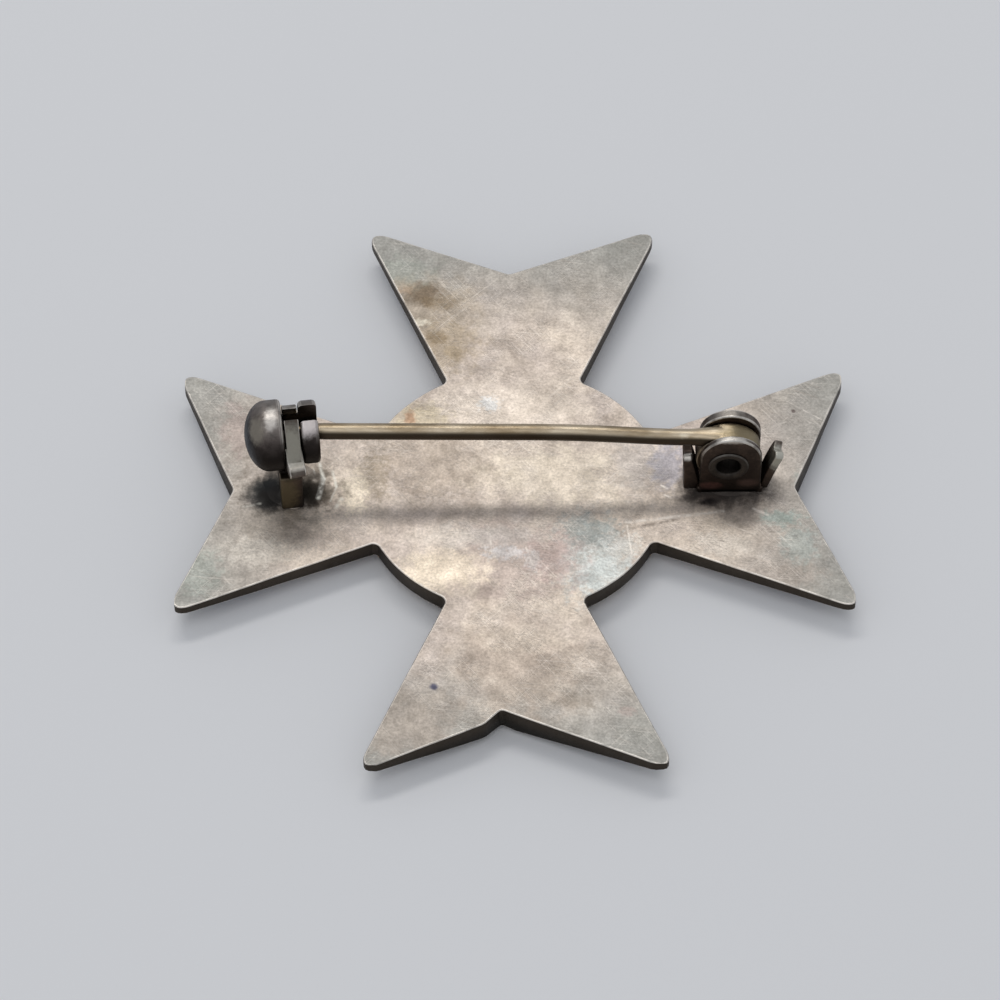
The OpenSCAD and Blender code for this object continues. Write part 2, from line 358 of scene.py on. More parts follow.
def sharp_arm(name, notch, top):
    """An arm along +X with sharp corners: a wedge, forked at its end and ridged in front."""
    spread = (TIP_HALF - WAIST_HALF) / (TIP_REACH - WAIST_REACH)
    root_half = WAIST_HALF - spread * WAIST_REACH
    arm = block(name, (0, -TIP_HALF, 0), (TIP_REACH, TIP_HALF, top))
    pick(arm, "VERT", lambda v: v.co.x < NEAR)
    bpy.ops.transform.resize(value=(1, root_half / TIP_HALF, 1), center_override=(0, 0, 0))
    close()
    cuts = sorted({0.0, *(side for reach, side in notch)})
    cut_across(arm, [((0, side, 0), (0, 1, 0)) for side in cuts])
    for side in cuts:
        pick(arm, "VERT", lambda v: v.co.x > TIP_REACH - NEAR and abs(v.co.y - side) < NEAR)
        bpy.ops.transform.translate(value=(fork_reach(notch, side) - TIP_REACH, 0, 0))
        close()
    for v in arm.data.vertices:
        if v.co.z < NEAR:
            v.co.z = front_height(v.co.y)
    return arm


def upright(edge):
    """Whether an edge stands along Z."""
    a, b = (v.co for v in edge.verts)
    return (a - b).xy.length < NEAR and abs(a.z - b.z) > 0.1


def round_points(arm, notch):
    """Rounds the two points of an arm and eases the corners of its fork."""
    side = Vector((WAIST_REACH - TIP_REACH, WAIST_HALF - TIP_HALF))
    fork = Vector((notch[-1][0] - TIP_REACH, notch[-1][1] - TIP_HALF))
    tangent = TIP_ROUND / math.tan(side.angle(fork) / 2)
    bevel_edges(arm, lambda e: upright(e) and e.verts[0].co.x > TIP_REACH - NEAR, tangent, 8)
    corners = [Vector(corner) for corner in notch]
    bevel_edges(arm, lambda e: upright(e) and any(
        (e.verts[0].co.xy - corner).length < NEAR for corner in corners), NOTCH_EASE, 4)


def heading(angle):
    """The direction of an angle in XY."""
    return Vector((math.cos(angle), math.sin(angle)))


def waist_filling(name, side):
    """What fills the sharp corner beside an arm's root to a round one, for the arm along +X."""
    corner = Vector((WAIST_REACH, WAIST_HALF))
    along_arm = math.atan2(TIP_HALF - WAIST_HALF, TIP_REACH - WAIST_REACH)
    along_disc = math.atan2(corner.y, corner.x) + math.pi / 2
    middle, half = (along_arm + along_disc) / 2, (along_disc - along_arm) / 2
    centre = corner + heading(middle) * WAIST_ROUND / math.sin(half)
    swing = math.pi / 2 - half - WAIST_RUN_IN
    angles = [middle + math.pi + swing * (2 * i / 5 - 1) for i in range(6)]
    outline = [centre + heading(a) * WAIST_ROUND for a in angles]
    outline.insert(0, outline[0] + heading(angles[0] - math.pi / 2) * WAIST_ROUND)
    outline.append(outline[-1] + heading(angles[-1] + math.pi / 2) * WAIST_ROUND)
    outline.append(corner - heading(middle))
    return plate(name, [(x, side * y) for x, y in outline], BACK_Z - DISC_T + 0.1, DISC_T + STOCK)


def enamel_cell(name, notch):
    """The shape of an arm's cell: the front of the arm less its rim, as deep as the cell."""
    cell = sharp_arm(name, notch[-1:], BACK_Z)
    for v in cell.data.vertices:
        if v.co.z < BACK_Z:
            v.co.z = 0
    pick_all(cell)
    bpy.ops.mesh.bisect(
        plane_co=(CELL_ROOT_R / 2, 0, 0), plane_no=(1, 0, 0), use_fill=True, clear_inner=True)
    close()
    pick(cell, "FACE", lambda f: f.normal.z < -0.5)
    bpy.ops.mesh.inset(thickness=RIM_W, use_even_offset=True)
    bpy.ops.mesh.select_all(action="INVERT")
    bpy.ops.mesh.delete(type="FACE")
    bpy.ops.mesh.select_all(action="SELECT")
    extrude((0, 0, CELL_D))
    close()
    turn_outwards(cell)
    combine(cell, round_bar("root", CELL_ROOT_R, -1, 1), "DIFFERENCE")
    for v in cell.data.vertices:
        v.co.z += front_height(v.co.y)
    return cell


def hand_filed(piece, limits):
    """Makes a piece a little uneven, as filed and worn by hand, and keeps it inside its limits."""
    low, high = limits
    noise.seed_set(FILE_SEED)
    (broad, broad_depth), (fine, fine_depth) = FILE_WAVES
    for v in piece.data.vertices:
        shift = noise.noise_vector(v.co / broad) * broad_depth
        shift += noise.noise_vector(v.co / fine + Vector((7, 3, 1))) * fine_depth
        v.co += Vector((shift.x, shift.y, shift.z * FILE_FLAT))
        v.co = Vector(max(a / MM, min(b / MM, c)) for a, b, c in zip(low, high, v.co))


cross = round_bar("cross", DISC_R, BACK_Z - DISC_T, BACK_Z + STOCK)
cells = {}
for side, (turn, notch) in ARMS.items():
    arm = sharp_arm("arm_" + side, notch, BACK_Z + STOCK + 0.2 * (len(cells) + 1))
    cells[side] = turned(enamel_cell("cell_" + side, notch), (0, 0, turn))
    round_points(arm, notch)
    combine(cross, turned(arm, (0, 0, turn)), "UNION")
    for edge_side in (-1, 1):
        combine(cross, turned(waist_filling("waist", edge_side), (0, 0, turn)), "UNION")
combine(cross, round_bar("boss", BEZEL_R, 0, BACK_Z - 0.3), "UNION")
pick_all(cross)
bpy.ops.mesh.bisect(
    plane_co=(0, 0, BACK_Z), plane_no=(0, 0, 1), use_fill=True, clear_outer=True, threshold=HAIR)
close()
combine(cross, round_bar("middle_cell", BEZEL_R - BEZEL_W, -1, 2 * CELL_D), "DIFFERENCE")
for side, cell in cells.items():
    cutter = copied(cell, "cutter")
    pick(cutter, "FACE", lambda f: f.normal.z < -0.5)
    bpy.ops.transform.translate(value=(0, 0, -0.6))
    close()
    combine(cross, cutter, "DIFFERENCE")

pick_all(cross)
bpy.ops.mesh.remove_doubles(threshold=0.002)
bpy.ops.mesh.dissolve_limited(angle_limit=math.radians(0.3))
close()


def back_outline(edge):
    """Whether an edge lies between the flat back and the side walls."""
    beside_wall = any(abs(f.normal.z) < 0.1 for f in edge.link_faces)
    return beside_wall and all(v.co.z > BACK_Z - NEAR for v in edge.verts)


def front_corner(edge):
    """Whether an edge is a sharp corner of the front."""
    if any(v.co.z > BACK_Z - 2 * BACK_EDGE for v in edge.verts) or upright(edge):
        return False
    return len(edge.link_faces) == 2 and edge.calc_face_angle(0) > math.radians(40)


bevel_edges(cross, back_outline, BACK_EDGE)
bevel_edges(cross, front_corner, FRONT_EDGE, 2)
lines = [(i + 0.5) * FILE_PITCH - TIP_REACH for i in range(int(2 * TIP_REACH / FILE_PITCH))]
cut_across(cross, [((x, 0, 0), (1, 0, 0)) for x in lines] + [((0, y, 0), (0, 1, 0)) for y in lines])
hand_filed(cross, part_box("cross_plate"))
turn_outwards(cross)


def note_wear_and_top_light(piece, facing_up=0.0):
    """Notes on every face how far it is painted bright: worn by its curve, and a painted highlight as far as
    it faces up.
    """
    shape = bmesh.new()
    shape.from_mesh(piece.data)
    worn_and_lit = shape.faces.layers.float.new("worn_and_lit")
    for face in shape.faces:
        curve = sum(e.calc_face_angle_signed(0) * e.calc_length() for e in face.edges)
        curve /= max(face.calc_area(), 1e-6)
        # A face that faces up gets a painted highlight, as if lit from above.
        lift = max(0.0, min(1.0, (face.normal.z - TOP_LIGHT_LIFT[0]) / TOP_LIGHT_LIFT[1]))
        worn = max(0.0, (curve - RUB_CURVE[0]) / RUB_CURVE[1])
        face[worn_and_lit] = min(1.0, worn + facing_up * lift)
    shape.to_mesh(piece.data)
    shape.free()


def note(piece, name, domain, rule):
    """Notes a value on every point or face of a piece, by the rule, for its paint to read."""
    layer = piece.data.attributes.new(name, "FLOAT", domain)
    items = piece.data.vertices if domain == "POINT" else piece.data.polygons
    for item, value in zip(items, layer.data):
        value.value = rule(item)


note_wear_and_top_light(cross)


def is_wall(face):
    """Whether a face belongs to the side walls, below the worn edge of the back."""
    low = min(cross.data.vertices[number].co.z for number in face.vertices)
    return float(abs(face.normal.z) < 0.35 and low < BACK_Z - 0.1)


note(cross, "wall", "FACE", is_wall)
smooth(cross)


def feed(socket, value):
    """Gives an input its value, or links another node's output to it."""
    if isinstance(value, bpy.types.NodeSocket):
        tree.links.new(value, socket)
    elif socket.type == "RGBA":
        socket.default_value = (*value, 1)
    else:
        socket.default_value = value


def add_node(kind, feeds, **settings):
    """Adds a node, with these inputs and settings, to the effect or paint that is being made."""
    made = tree.nodes.new("ShaderNode" + kind)
    for name, value in settings.items():
        setattr(made, name, value)
    for key, value in feeds.items():
        feed(made.inputs[key], value)
    return made


def maths(operation, first, second=0.0):
    """One sum on two values."""
    return add_node("Math", {0: first, 1: second}, operation=operation).outputs[0]


def plus(first, second):
    """Two values added."""
    return maths("ADD", first, second)


def minus(first, second):
    """The first value less the second."""
    return maths("SUBTRACT", first, second)


def times(first, second):
    """Two values multiplied."""
    return maths("MULTIPLY", first, second)


def vectors(operation, *parts):
    """One sum on vectors. A length or a dot product comes out as a value."""
    made = add_node("VectorMath", dict(enumerate(parts)), operation=operation)
    return made.outputs["Value" if operation in ("LENGTH", "DOT_PRODUCT") else "Vector"]


def mixed(amount, first, second, blend="MIX"):
    """The second colour over the first by amount."""
    made = add_node("Mix", {}, data_type="RGBA", blend_type=blend)
    for number, value in ((0, amount), (6, first), (7, second)):
        feed(made.inputs[number], value)
    return made.outputs[2]


def laid(mask, strength, colour, tint):
    """A tint over a colour where the mask is, at this strength."""
    return mixed(times(mask, strength), colour, tint)


def ramp(value, start, end, low=0.0, high=1.0):
    """Turns a value between start and end smoothly into one between low and high."""
    feeds = {"Value": value, "From Min": start, "From Max": end, "To Min": low, "To Max": high}
    return add_node("MapRange", feeds, interpolation_type="SMOOTHSTEP").outputs[0]


def kept_in(value):
    """A value kept between 0 and 1."""
    return add_node("Clamp", {"Value": value}).outputs[0]


def grain(place, scale, detail, **more):
    """A noise pattern at a place."""
    return add_node("TexNoise", {"Vector": place, "Scale": scale, "Detail": detail, **more}).outputs[0]


def noted(name):
    """The value that was noted on the piece under this name."""
    return add_node("Attribute", {}, attribute_name=name).outputs["Fac"]


def new_effect(name, inputs, output="Mask"):
    """An empty shared effect: its node group, what goes into it, and the socket that it puts out."""
    global tree
    tree = bpy.data.node_groups.new(name, "ShaderNodeTree")
    for socket in inputs.split():
        kind = "Vector" if socket in ("Place", "Centre", "Reach", "From", "To") else "Float"
        tree.interface.new_socket(socket, in_out="INPUT", socket_type="NodeSocket" + kind)
    tree.interface.new_socket(output, in_out="OUTPUT", socket_type="NodeSocketFloat")
    return tree, tree.nodes.new("NodeGroupInput").outputs, tree.nodes.new("NodeGroupOutput").inputs[0]


def use(effect, **values):
    """Places a shared effect in a paint with its own values."""
    made = tree.nodes.new("ShaderNodeGroup")
    made.node_tree = effect
    for name, value in values.items():
        feed(made.inputs[name], value)
    return made.outputs[0]


clouds, given, result = new_effect("clouds", "Place Size Level Contrast Seed", "Amount")
seed = add_node("CombineXYZ", {0: given["Seed"], 1: given["Seed"]}).outputs[0]
cloud = grain(vectors("ADD", given["Place"], seed), maths("DIVIDE", 1.0, given["Size"]), 6,
              Roughness=0.62, Distortion=0.25)
feed(result, kept_in(plus(times(minus(cloud, 0.5), given["Contrast"]), given["Level"])))

stain, given, result = new_effect("stain", "Place Centre Reach Ragged Size")
off = vectors("SUBTRACT", given["Place"], given["Centre"])
far = vectors("LENGTH", vectors("DIVIDE", off, given["Reach"]))
tear = grain(given["Place"], maths("DIVIDE", 1.0, given["Size"]), 5, Roughness=0.65)
feed(result, ramp(plus(far, times(minus(tear, 0.5), given["Ragged"])), 1.15, 0.4))

scratch, given, result = new_effect("scratch", "Place From To Width")
along = vectors("SUBTRACT", given["To"], given["From"])
off = vectors("SUBTRACT", given["Place"], given["From"])
part = kept_in(maths(
    "DIVIDE", vectors("DOT_PRODUCT", off, along), vectors("DOT_PRODUCT", along, along)))
nearest = add_node("VectorMath", {0: along, "Scale": part}, operation="SCALE").outputs[0]
gap = vectors("LENGTH", vectors("SUBTRACT", off, nearest))
gap = plus(gap, times(minus(grain(given["Place"], 1.3, 3), 0.45), 0.22))
faint = ramp(grain(given["Place"], 2.6, 4), 0.35, 0.6, 0.2, 1.0)
feed(result, times(ramp(maths("DIVIDE", gap, given["Width"]), 1.0, 0.1), faint))

brushing, given, result = new_effect("brushing", "Place Turn Length Width Share Seed")
rolled = {"Vector": given["Place"], "Angle": given["Turn"]}
rolled = add_node("VectorRotate", rolled, rotation_type="Z_AXIS").outputs[0]
finer = {0: maths("DIVIDE", 1.0, given["Length"]), 1: maths("DIVIDE", 1.0, given["Width"]), 2: given["Seed"]}
finer = add_node("CombineXYZ", finer).outputs[0]
seed = add_node("CombineXYZ", {2: given["Seed"]}).outputs[0]
streaks = vectors("ADD", vectors("MULTIPLY", rolled, finer), seed)
level = minus(0.75, times(given["Share"], 0.3))
streaks = ramp(minus(grain(streaks, 1, 1, Roughness=0.4), level), 0.0, 0.07)
feed(result, times(streaks, ramp(grain(given["Place"], 0.35, 3), 0.42, 0.62)))

# Patchy bright edges: wear, and on the fittings also a painted highlight on faces that face up.
worn_and_lit_edges, given, result = new_effect("worn_and_lit_edges", "Place Level")
patchy = ramp(plus(grain(given["Place"], 1.1, 4), given["Level"]), 0.35, 0.65, 0.25, 1.0)
feed(result, times(noted("worn_and_lit"), patchy))


def cloudy(place, size, level, contrast, seed):
    """Clouds of this size in millimetres: their level, how hard they are, and which ones."""
    return use(clouds, Place=place, Size=size, Level=level, Contrast=contrast, Seed=seed)


def new_paint(name):
    """A new material, open to have nodes added, and the place on the piece in millimetres."""
    global tree
    paint = bpy.data.materials.new(name)
    paint.use_nodes = True
    tree = paint.node_tree
    spot = add_node("TexCoord", {}).outputs["Object"]
    return paint, vectors("MULTIPLY", spot, (1 / MM, 1 / MM, 1 / MM))


def surface(colour, roughness, relief, depth, metallic=1.0):
    """Joins the colour, the roughness and the relief, with its depth in millimetres, to the shader."""
    shader = tree.nodes["Principled BSDF"]
    shader.inputs["Metallic"].default_value = metallic
    pressed = add_node("Bump", {"Height": relief, "Strength": 1.0, "Distance": depth * MM}).outputs[0]
    for name, value in (("Base Color", colour), ("Roughness", roughness), ("Normal", pressed)):
        feed(shader.inputs[name], value)
    return shader


def finish(piece, paint, body, node):
    """Paints a finished piece, brings it to metres and puts it on its body in place of its node."""
    to_metres(piece)
    piece.data.materials.clear()
    piece.data.materials.append(paint)
    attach(piece, body)
    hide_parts(node)


SILVER = (0.62, 0.535, 0.475)
CREAM = (0.80, 0.695, 0.585)
DRAB = (0.41, 0.34, 0.285)
OUTER_SHADE_TONE = (0.37, 0.362, 0.335)
BRIGHT = (0.93, 0.86, 0.78)
DARK_LINE = (0.22, 0.18, 0.15)
WALL_SHADE_BROWN = (0.045, 0.033, 0.023)
WALL_SHADE_BLACK = (0.008, 0.007, 0.006)
STAINS = [
    ((-6.2, 16.6), (4.6, 4.2), (0.47, 0.39, 0.30), 0.6, 1.6, 1.4),
    ((-6.8, 18.6), (1.9, 1.5), (0.19, 0.135, 0.085), 0.75, 1.6, 1.0),
    ((-5.3, 17.6), (1.7, 0.9), (0.25, 0.185, 0.115), 0.6, 1.6, 0.8),
    ((-5.0, 13.2), (3.0, 3.0), (0.46, 0.37, 0.26), 0.6, 2.0, 1.0),
    ((-5.7, 14.2), (1.0, 0.8), (0.28, 0.20, 0.115), 0.6, 1.8, 0.6),
    ((-4.4, 12.8), (0.9, 0.9), (0.33, 0.25, 0.15), 0.5, 1.8, 0.5),
    ((-8.4, 19.3), (1.2, 0.9), (0.62, 0.46, 0.33), 0.55, 1.6, 0.5),
    ((-7.0, 15.7), (1.0, 0.4), (0.80, 0.74, 0.62), 0.75, 2.4, 0.3),
    ((-0.4, 7.4), (6.4, 3.0), (0.92, 0.815, 0.70), 0.5, 1.8, 1.4),
    ((-1.8, 7.9), (0.9, 0.8), (0.80, 0.85, 0.88), 0.5, 3.0, 0.4),
    ((-6.9, 6.6), (2.6, 1.7), (0.62, 0.53, 0.36), 0.6, 1.8, 0.8),
    ((-7.6, 6.5), (0.5, 0.9), (0.45, 0.25, 0.15), 0.7, 1.8, 0.4),
    ((-6.0, 2.0), (5.0, 3.6), (0.44, 0.36, 0.29), 0.5, 3.0, 0.5),
    ((-10.2, 1.2), (1.3, 2.8), (0.40, 0.33, 0.25), 0.6, 2.6, 0.5),
    ((4.4, 3.4), (4.0, 1.6), (0.46, 0.39, 0.32), 0.4, 3.2, 0.5),
    ((3.2, 1.0), (6.4, 3.0), (0.88, 0.78, 0.64), 0.55, 2.0, 1.4),
    ((8.9, 2.2), (2.0, 3.4), (0.50, 0.46, 0.44), 0.5, 2.4, 0.7),
    ((11.2, 2.0), (1.5, 2.6), (0.42, 0.41, 0.47), 0.65, 2.0, 0.6),
    ((-11.6, -0.4), (1.2, 2.2), (0.97, 0.86, 0.70), 0.7, 1.8, 0.5),
    ((5.6, -6.4), (3.0, 4.4), (0.51, 0.54, 0.53), 0.65, 2.4, 0.8),
    ((5.0, -4.0), (2.8, 1.6), (0.30, 0.34, 0.33), 0.6, 2.8, 0.5),
    ((6.2, -7.6), (2.2, 2.6), (0.74, 0.79, 0.77), 0.55, 3.6, 0.45),
    ((7.8, -5.4), (1.6, 1.4), (0.76, 0.74, 0.69), 0.6, 3.2, 0.4),
    ((-0.4, -6.4), (5.6, 4.2), (0.54, 0.44, 0.40), 0.6, 2.0, 1.4),
    ((2.6, -6.4), (2.2, 2.6), (0.52, 0.40, 0.37), 0.55, 2.4, 0.7),
    ((-2.6, -4.4), (4.6, 1.2), (0.56, 0.53, 0.50), 0.5, 1.8, 1.0),
    ((-0.7, -5.9), (2.0, 0.7), (0.74, 0.75, 0.77), 0.45, 3.2, 0.4),
    ((1.3, -6.6), (0.6, 1.2), (0.84, 0.82, 0.80), 0.4, 3.2, 0.3),
    ((-5.2, -4.5), (3.2, 1.5), (0.90, 0.80, 0.70), 0.5, 1.8, 0.8),
    ((-5.0, -7.4), (3.9, 2.2), (0.98, 0.85, 0.68), 0.72, 1.4, 0.9),
    ((0.3, -16.2), (5.6, 5.0), (0.45, 0.37, 0.305), 0.55, 2.2, 1.4),
    ((-7.6, -20.6), (4.2, 3.8), (0.43, 0.375, 0.325), 0.85, 1.4, 1.4),
    ((0.9, -13.4), (3.6, 1.6), (0.72, 0.63, 0.53), 0.4, 3.2, 0.5),
    ((4.2, -18.9), (1.6, 1.2), (0.30, 0.255, 0.21), 0.5, 2.2, 0.6),
    ((8.6, -21.6), (2.4, 2.4), (0.36, 0.35, 0.32), 0.6, 2.0, 0.7),
    ((-5.74, -17.6), (0.36, 0.36), (0.10, 0.10, 0.15), 0.95, 0.5, 0.3),
    ((-5.3, -17.3), (0.5, 0.4), (0.80, 0.74, 0.68), 0.25, 1.6, 0.3),
    ((7.8, -19.8), (0.7, 0.5), (0.45, 0.34, 0.31), 0.4, 2.4, 0.4),
    ((20.6, 7.0), (0.2, 0.2), (0.16, 0.12, 0.11), 0.8, 0.6, 0.3),
    ((14.8, -5.2), (2.8, 1.3), (0.80, 0.73, 0.65), 0.6, 2.2, 0.7),
    ((19.4, -8.0), (3.2, 1.3), (0.44, 0.375, 0.325), 0.55, 2.4, 0.7),
    ((19.2, -2.9), (1.7, 0.8), (0.38, 0.49, 0.45), 0.55, 2.4, 0.5),
    ((20.4, -5.2), (1.5, 2.0), (0.45, 0.52, 0.49), 0.45, 2.6, 0.5),
    ((21.8, 0.8), (1.6, 1.2), (0.44, 0.52, 0.48), 0.4, 2.4, 0.6),
    ((-20.2, 5.4), (1.6, 3.2), (0.42, 0.33, 0.30), 0.55, 2.2, 0.7),
    ((-18.4, -5.6), (2.8, 1.6), (0.70, 0.65, 0.58), 0.55, 2.8, 0.6),
    ((-22.6, -7.6), (2.0, 2.6), (0.42, 0.455, 0.41), 0.5, 2.2, 0.6),
    ((-8.6, 20.6), (3.4, 1.9), (0.36, 0.385, 0.34), 0.5, 1.8, 1.2),
]
# Dirt round the fittings, with painted shade: dark patches under and beside the hinge and the catch.
GRIME_AND_SHADE = [
    ((15.3, -0.1), (4.6, 2.4), (0.16, 0.135, 0.12), 0.6, 1.6),
    ((14.9, -0.5), (3.6, 1.5), (0.075, 0.065, 0.06), 0.8, 1.2),
    ((14.0, -1.4), (0.8, 0.45), (0.02, 0.018, 0.02), 0.8, 1.0),
    ((-16.0, 0.2), (4.4, 3.6), (0.23, 0.19, 0.15), 0.6, 2.2),
    ((-18.0, -0.5), (1.9, 1.9), (0.040, 0.043, 0.045), 0.88, 1.1),
    ((-17.7, 0.1), (1.2, 1.5), (0.020, 0.021, 0.022), 0.9, 0.9),
    ((-16.2, -0.8), (2.8, 1.3), (0.04, 0.036, 0.033), 0.85, 1.1),
    ((-14.3, -0.3), (1.8, 2.0), (0.10, 0.08, 0.06), 0.65, 2.4),
    ((-14.8, -0.3), (1.2, 1.5), (0.026, 0.022, 0.018), 0.88, 1.1),
]
# Pale solder, painted brighter as a highlight along the solder's edge.
SOLDER_EDGE_HIGHLIGHT = (0.80, 0.77, 0.69)
SCRATCHES = [
    ((8.1, -3.2), (15.1, -2.24), 0.24, 0.7, BRIGHT),
    ((8.3, -3.75), (11.8, -2.95), 0.26, 0.7, DARK_LINE),
    ((8.14, -3.5), (8.4, -6.05), 0.14, 0.75, BRIGHT),
    ((-1.75, -4.2), (-1.65, -6.05), 0.12, 0.45, BRIGHT),
    ((0.8, -5.4), (1.3, -7.0), 0.12, 0.45, BRIGHT),
    ((14.3, -2.9), (17.4, -4.4), 0.10, 0.4, BRIGHT),
    ((17.3, -2.0), (18.3, -2.6), 0.22, 0.75, BRIGHT),
    ((10.7, 0.15), (11.1, -0.1), 0.16, 0.9, BRIGHT),
    ((10.9, -0.7), (11.4, -1.0), 0.14, 0.8, BRIGHT),
    ((20.2, 7.9), (22.6, 6.2), 0.10, 0.45, BRIGHT),
    ((17.6, 5.0), (20.0, 6.0), 0.10, 0.35, BRIGHT),
    # Pale arcs of solder round the catch, painted as highlights along its edge.
    ((-14.2, 2.5), (-13.85, 0.9), 0.26, 0.9, SOLDER_EDGE_HIGHLIGHT),
    ((-13.85, 0.9), (-14.2, -0.8), 0.30, 1.0, SOLDER_EDGE_HIGHLIGHT),
    ((-13.2, 1.6), (-12.9, 0.2), 0.18, 0.75, SOLDER_EDGE_HIGHLIGHT),
    ((-12.9, 0.2), (-13.3, -1.1), 0.16, 0.6, SOLDER_EDGE_HIGHLIGHT),
    ((-14.6, 1.9), (-14.4, 0.6), 0.14, 0.55, SOLDER_EDGE_HIGHLIGHT),
    ((-12.5, -0.9), (-12.9, -1.7), 0.26, 0.7, SOLDER_EDGE_HIGHLIGHT),
    ((-18.4, -1.3), (-19.6, -1.6), 0.18, 0.6, SOLDER_EDGE_HIGHLIGHT),
]

SPECKLES = [
    (0.9, 5, (0.89, 0.885, 0.875), (1.11, 1.11, 1.11)),
    (0.2, 15, (0.83, 0.83, 0.83), (1.16, 1.16, 1.16)),
]
STROKES = [
    (0.1, 6.0, 0.10, 0.58, 2, BRIGHT, 0.16),
    (0.9, 4.5, 0.09, 0.52, 6, BRIGHT, 0.16),
    (-0.8, 5.0, 0.09, 0.52, 9, BRIGHT, 0.16),
    (0.4, 4.0, 0.11, 0.50, 14, DRAB, 0.22),
]

silver, place = new_paint("tarnished_silver")
colour = mixed(cloudy(place, 5.5, 0.36, 3.0, 3), SILVER, CREAM)
colour = mixed(cloudy(place, 2.6, 0.10, 3.4, 11), colour, DRAB)
# Painted sheen: the plate is painted duller and darker towards the arms' ends, so that its middle looks more
# brightly lit.
outer_shade = vectors("LENGTH", vectors("MULTIPLY", place, (1, 1.08, 0)))
outer_shade = ramp(plus(outer_shade, cloudy(place, 5, 0, 10, 21)), 14.5, 26.5, 0.0, 0.95)
colour = mixed(outer_shade, colour, OUTER_SHADE_TONE)
for centre, reach, tint, strength, ragged, size in STAINS:
    mask = use(stain, Place=place, Centre=(*centre, BACK_Z), Reach=(*reach, 1.2), Ragged=ragged, Size=size)
    colour = laid(mask, strength, colour, tint)
for size, seed, least, most in SPECKLES:
    speckle = mixed(cloudy(place, size, 0.5, 3.4, seed), least, most)
    colour = mixed(1.0, colour, speckle, "MULTIPLY")
marks = 0.0
for turn, length, width, share, seed, tint, strength in STROKES:
    mask = use(brushing, Place=place, Turn=turn, Length=length, Width=width, Share=share, Seed=seed)
    colour = laid(mask, strength, colour, tint)
    marks = maths("MAXIMUM", marks, mask)
# Dirt and painted shade round the hinge and the catch.
for centre, reach, tint, strength, ragged in GRIME_AND_SHADE:
    mask = use(stain, Place=place, Centre=(*centre, BACK_Z), Reach=(*reach, 1.6), Ragged=ragged, Size=0.9)
    colour = laid(mask, strength, colour, tint)
for start, end, width, strength, tint in SCRATCHES:
    mask = use(scratch, Place=place, From=(*start, BACK_Z), To=(*end, BACK_Z), Width=width)
    mask = times(mask, strength)
    colour = mixed(mask, colour, tint)
    marks = maths("MAXIMUM", marks, mask)
# Painted shade: the side walls are painted dark brown, blacker towards the floor.
wall = noted("wall")
height = add_node("SeparateXYZ", {0: place}).outputs[2]
colour = laid(wall, 0.96, colour, mixed(ramp(height, 0.6, 2.1), WALL_SHADE_BLACK, WALL_SHADE_BROWN))
# Edges painted pale: worn bright, and a painted highlight along the rounded back edge.
edge = times(use(worn_and_lit_edges, Place=place, Level=0.05), minus(1.0, wall))
colour = laid(edge, 0.7, colour, BRIGHT)
satin = minus(ramp(cloudy(place, 1.8, 0.5, 2.0, 31), 0, 1, 0.46, 0.60), times(edge, 0.12))
surface(colour, satin, minus(cloudy(place, 1.1, 0.5, 1.5, 8), times(marks, 0.35)), 0.02)
finish(cross, silver, "brooch", "cross_plate")


# The enamel
# Coloured glass fired into the cells of the front and ground nearly level with their rims: one
# field on each arm, and a low dome in the middle bezel. Hidden under the brooch in this pose.
SEAT = 0.03
MENISCUS = 0.14
DOME_R = 60
DOME_LOW = 0.12
BLUE = (0.035, 0.075, 0.26)
DEEP_BLUE = (0.02, 0.04, 0.15)
IVORY = (0.80, 0.75, 0.62)
IVORY_WARM = (0.66, 0.57, 0.42)
GLASS_IOR = 1.56


def height_at(radius, side):
    """How high a circle about an axis is at a distance to the side."""
    return math.sqrt(radius ** 2 - side ** 2)


def lathe(name, profile, steps=72):
    """A turned piece about the X axis: its profile runs through points of place along X and radius."""
    deselect()
    bpy.ops.mesh.primitive_plane_add(size=0.1)
    piece = added(name)
    pick_all(piece)
    bpy.ops.mesh.merge(type="CENTER")
    bpy.ops.transform.translate(value=(profile[0][0], 0, profile[0][1]))
    for (x0, r0), (x1, r1) in zip(profile, profile[1:]):
        extrude((x1 - x0, 0, r1 - r0))
    bpy.ops.mesh.select_all(action="SELECT")
    bpy.ops.mesh.spin(steps=steps, angle=2 * math.pi, center=(0, 0, 0), axis=(1, 0, 0))
    bpy.ops.mesh.select_all(action="SELECT")
    bpy.ops.mesh.remove_doubles(threshold=0.002)
    bpy.ops.mesh.normals_make_consistent(inside=False)
    close()
    return piece


def enamel_paint(name, colour, cloud_colour, specks):
    """Glossy fired enamel: a clouded colour, faint pits and a slightly wavy skin."""
    paint, place = new_paint(name)
    tone = mixed(cloudy(place, 2.4, 0.45, 2.5, 4), colour, cloud_colour)
    pits = cloudy(place, 0.3, -0.55, 6.0, 9)
    tone = laid(pits, 0.8, tone, specks)
    hairlines = use(brushing, Place=place, Turn=0.5, Length=2.5, Width=0.07, Share=0.3, Seed=6)
    gloss = ramp(maths("MAXIMUM", pits, hairlines), 0, 1, 0.10, 0.38)
    skin = minus(cloudy(place, 2.0, 0.5, 1.2, 7), times(pits, 0.5))
    surface(tone, gloss, skin, 0.02, 0.0).inputs["IOR"].default_value = GLASS_IOR
    return paint


def front_rim(edge):
    """Whether an edge lies between a field's front and its sides."""
    one_is_front = len(edge.link_faces) == 2 and sorted(f.normal.z < -0.5 for f in edge.link_faces)[1]
    return one_is_front and edge.calc_face_angle(0) > math.radians(40)


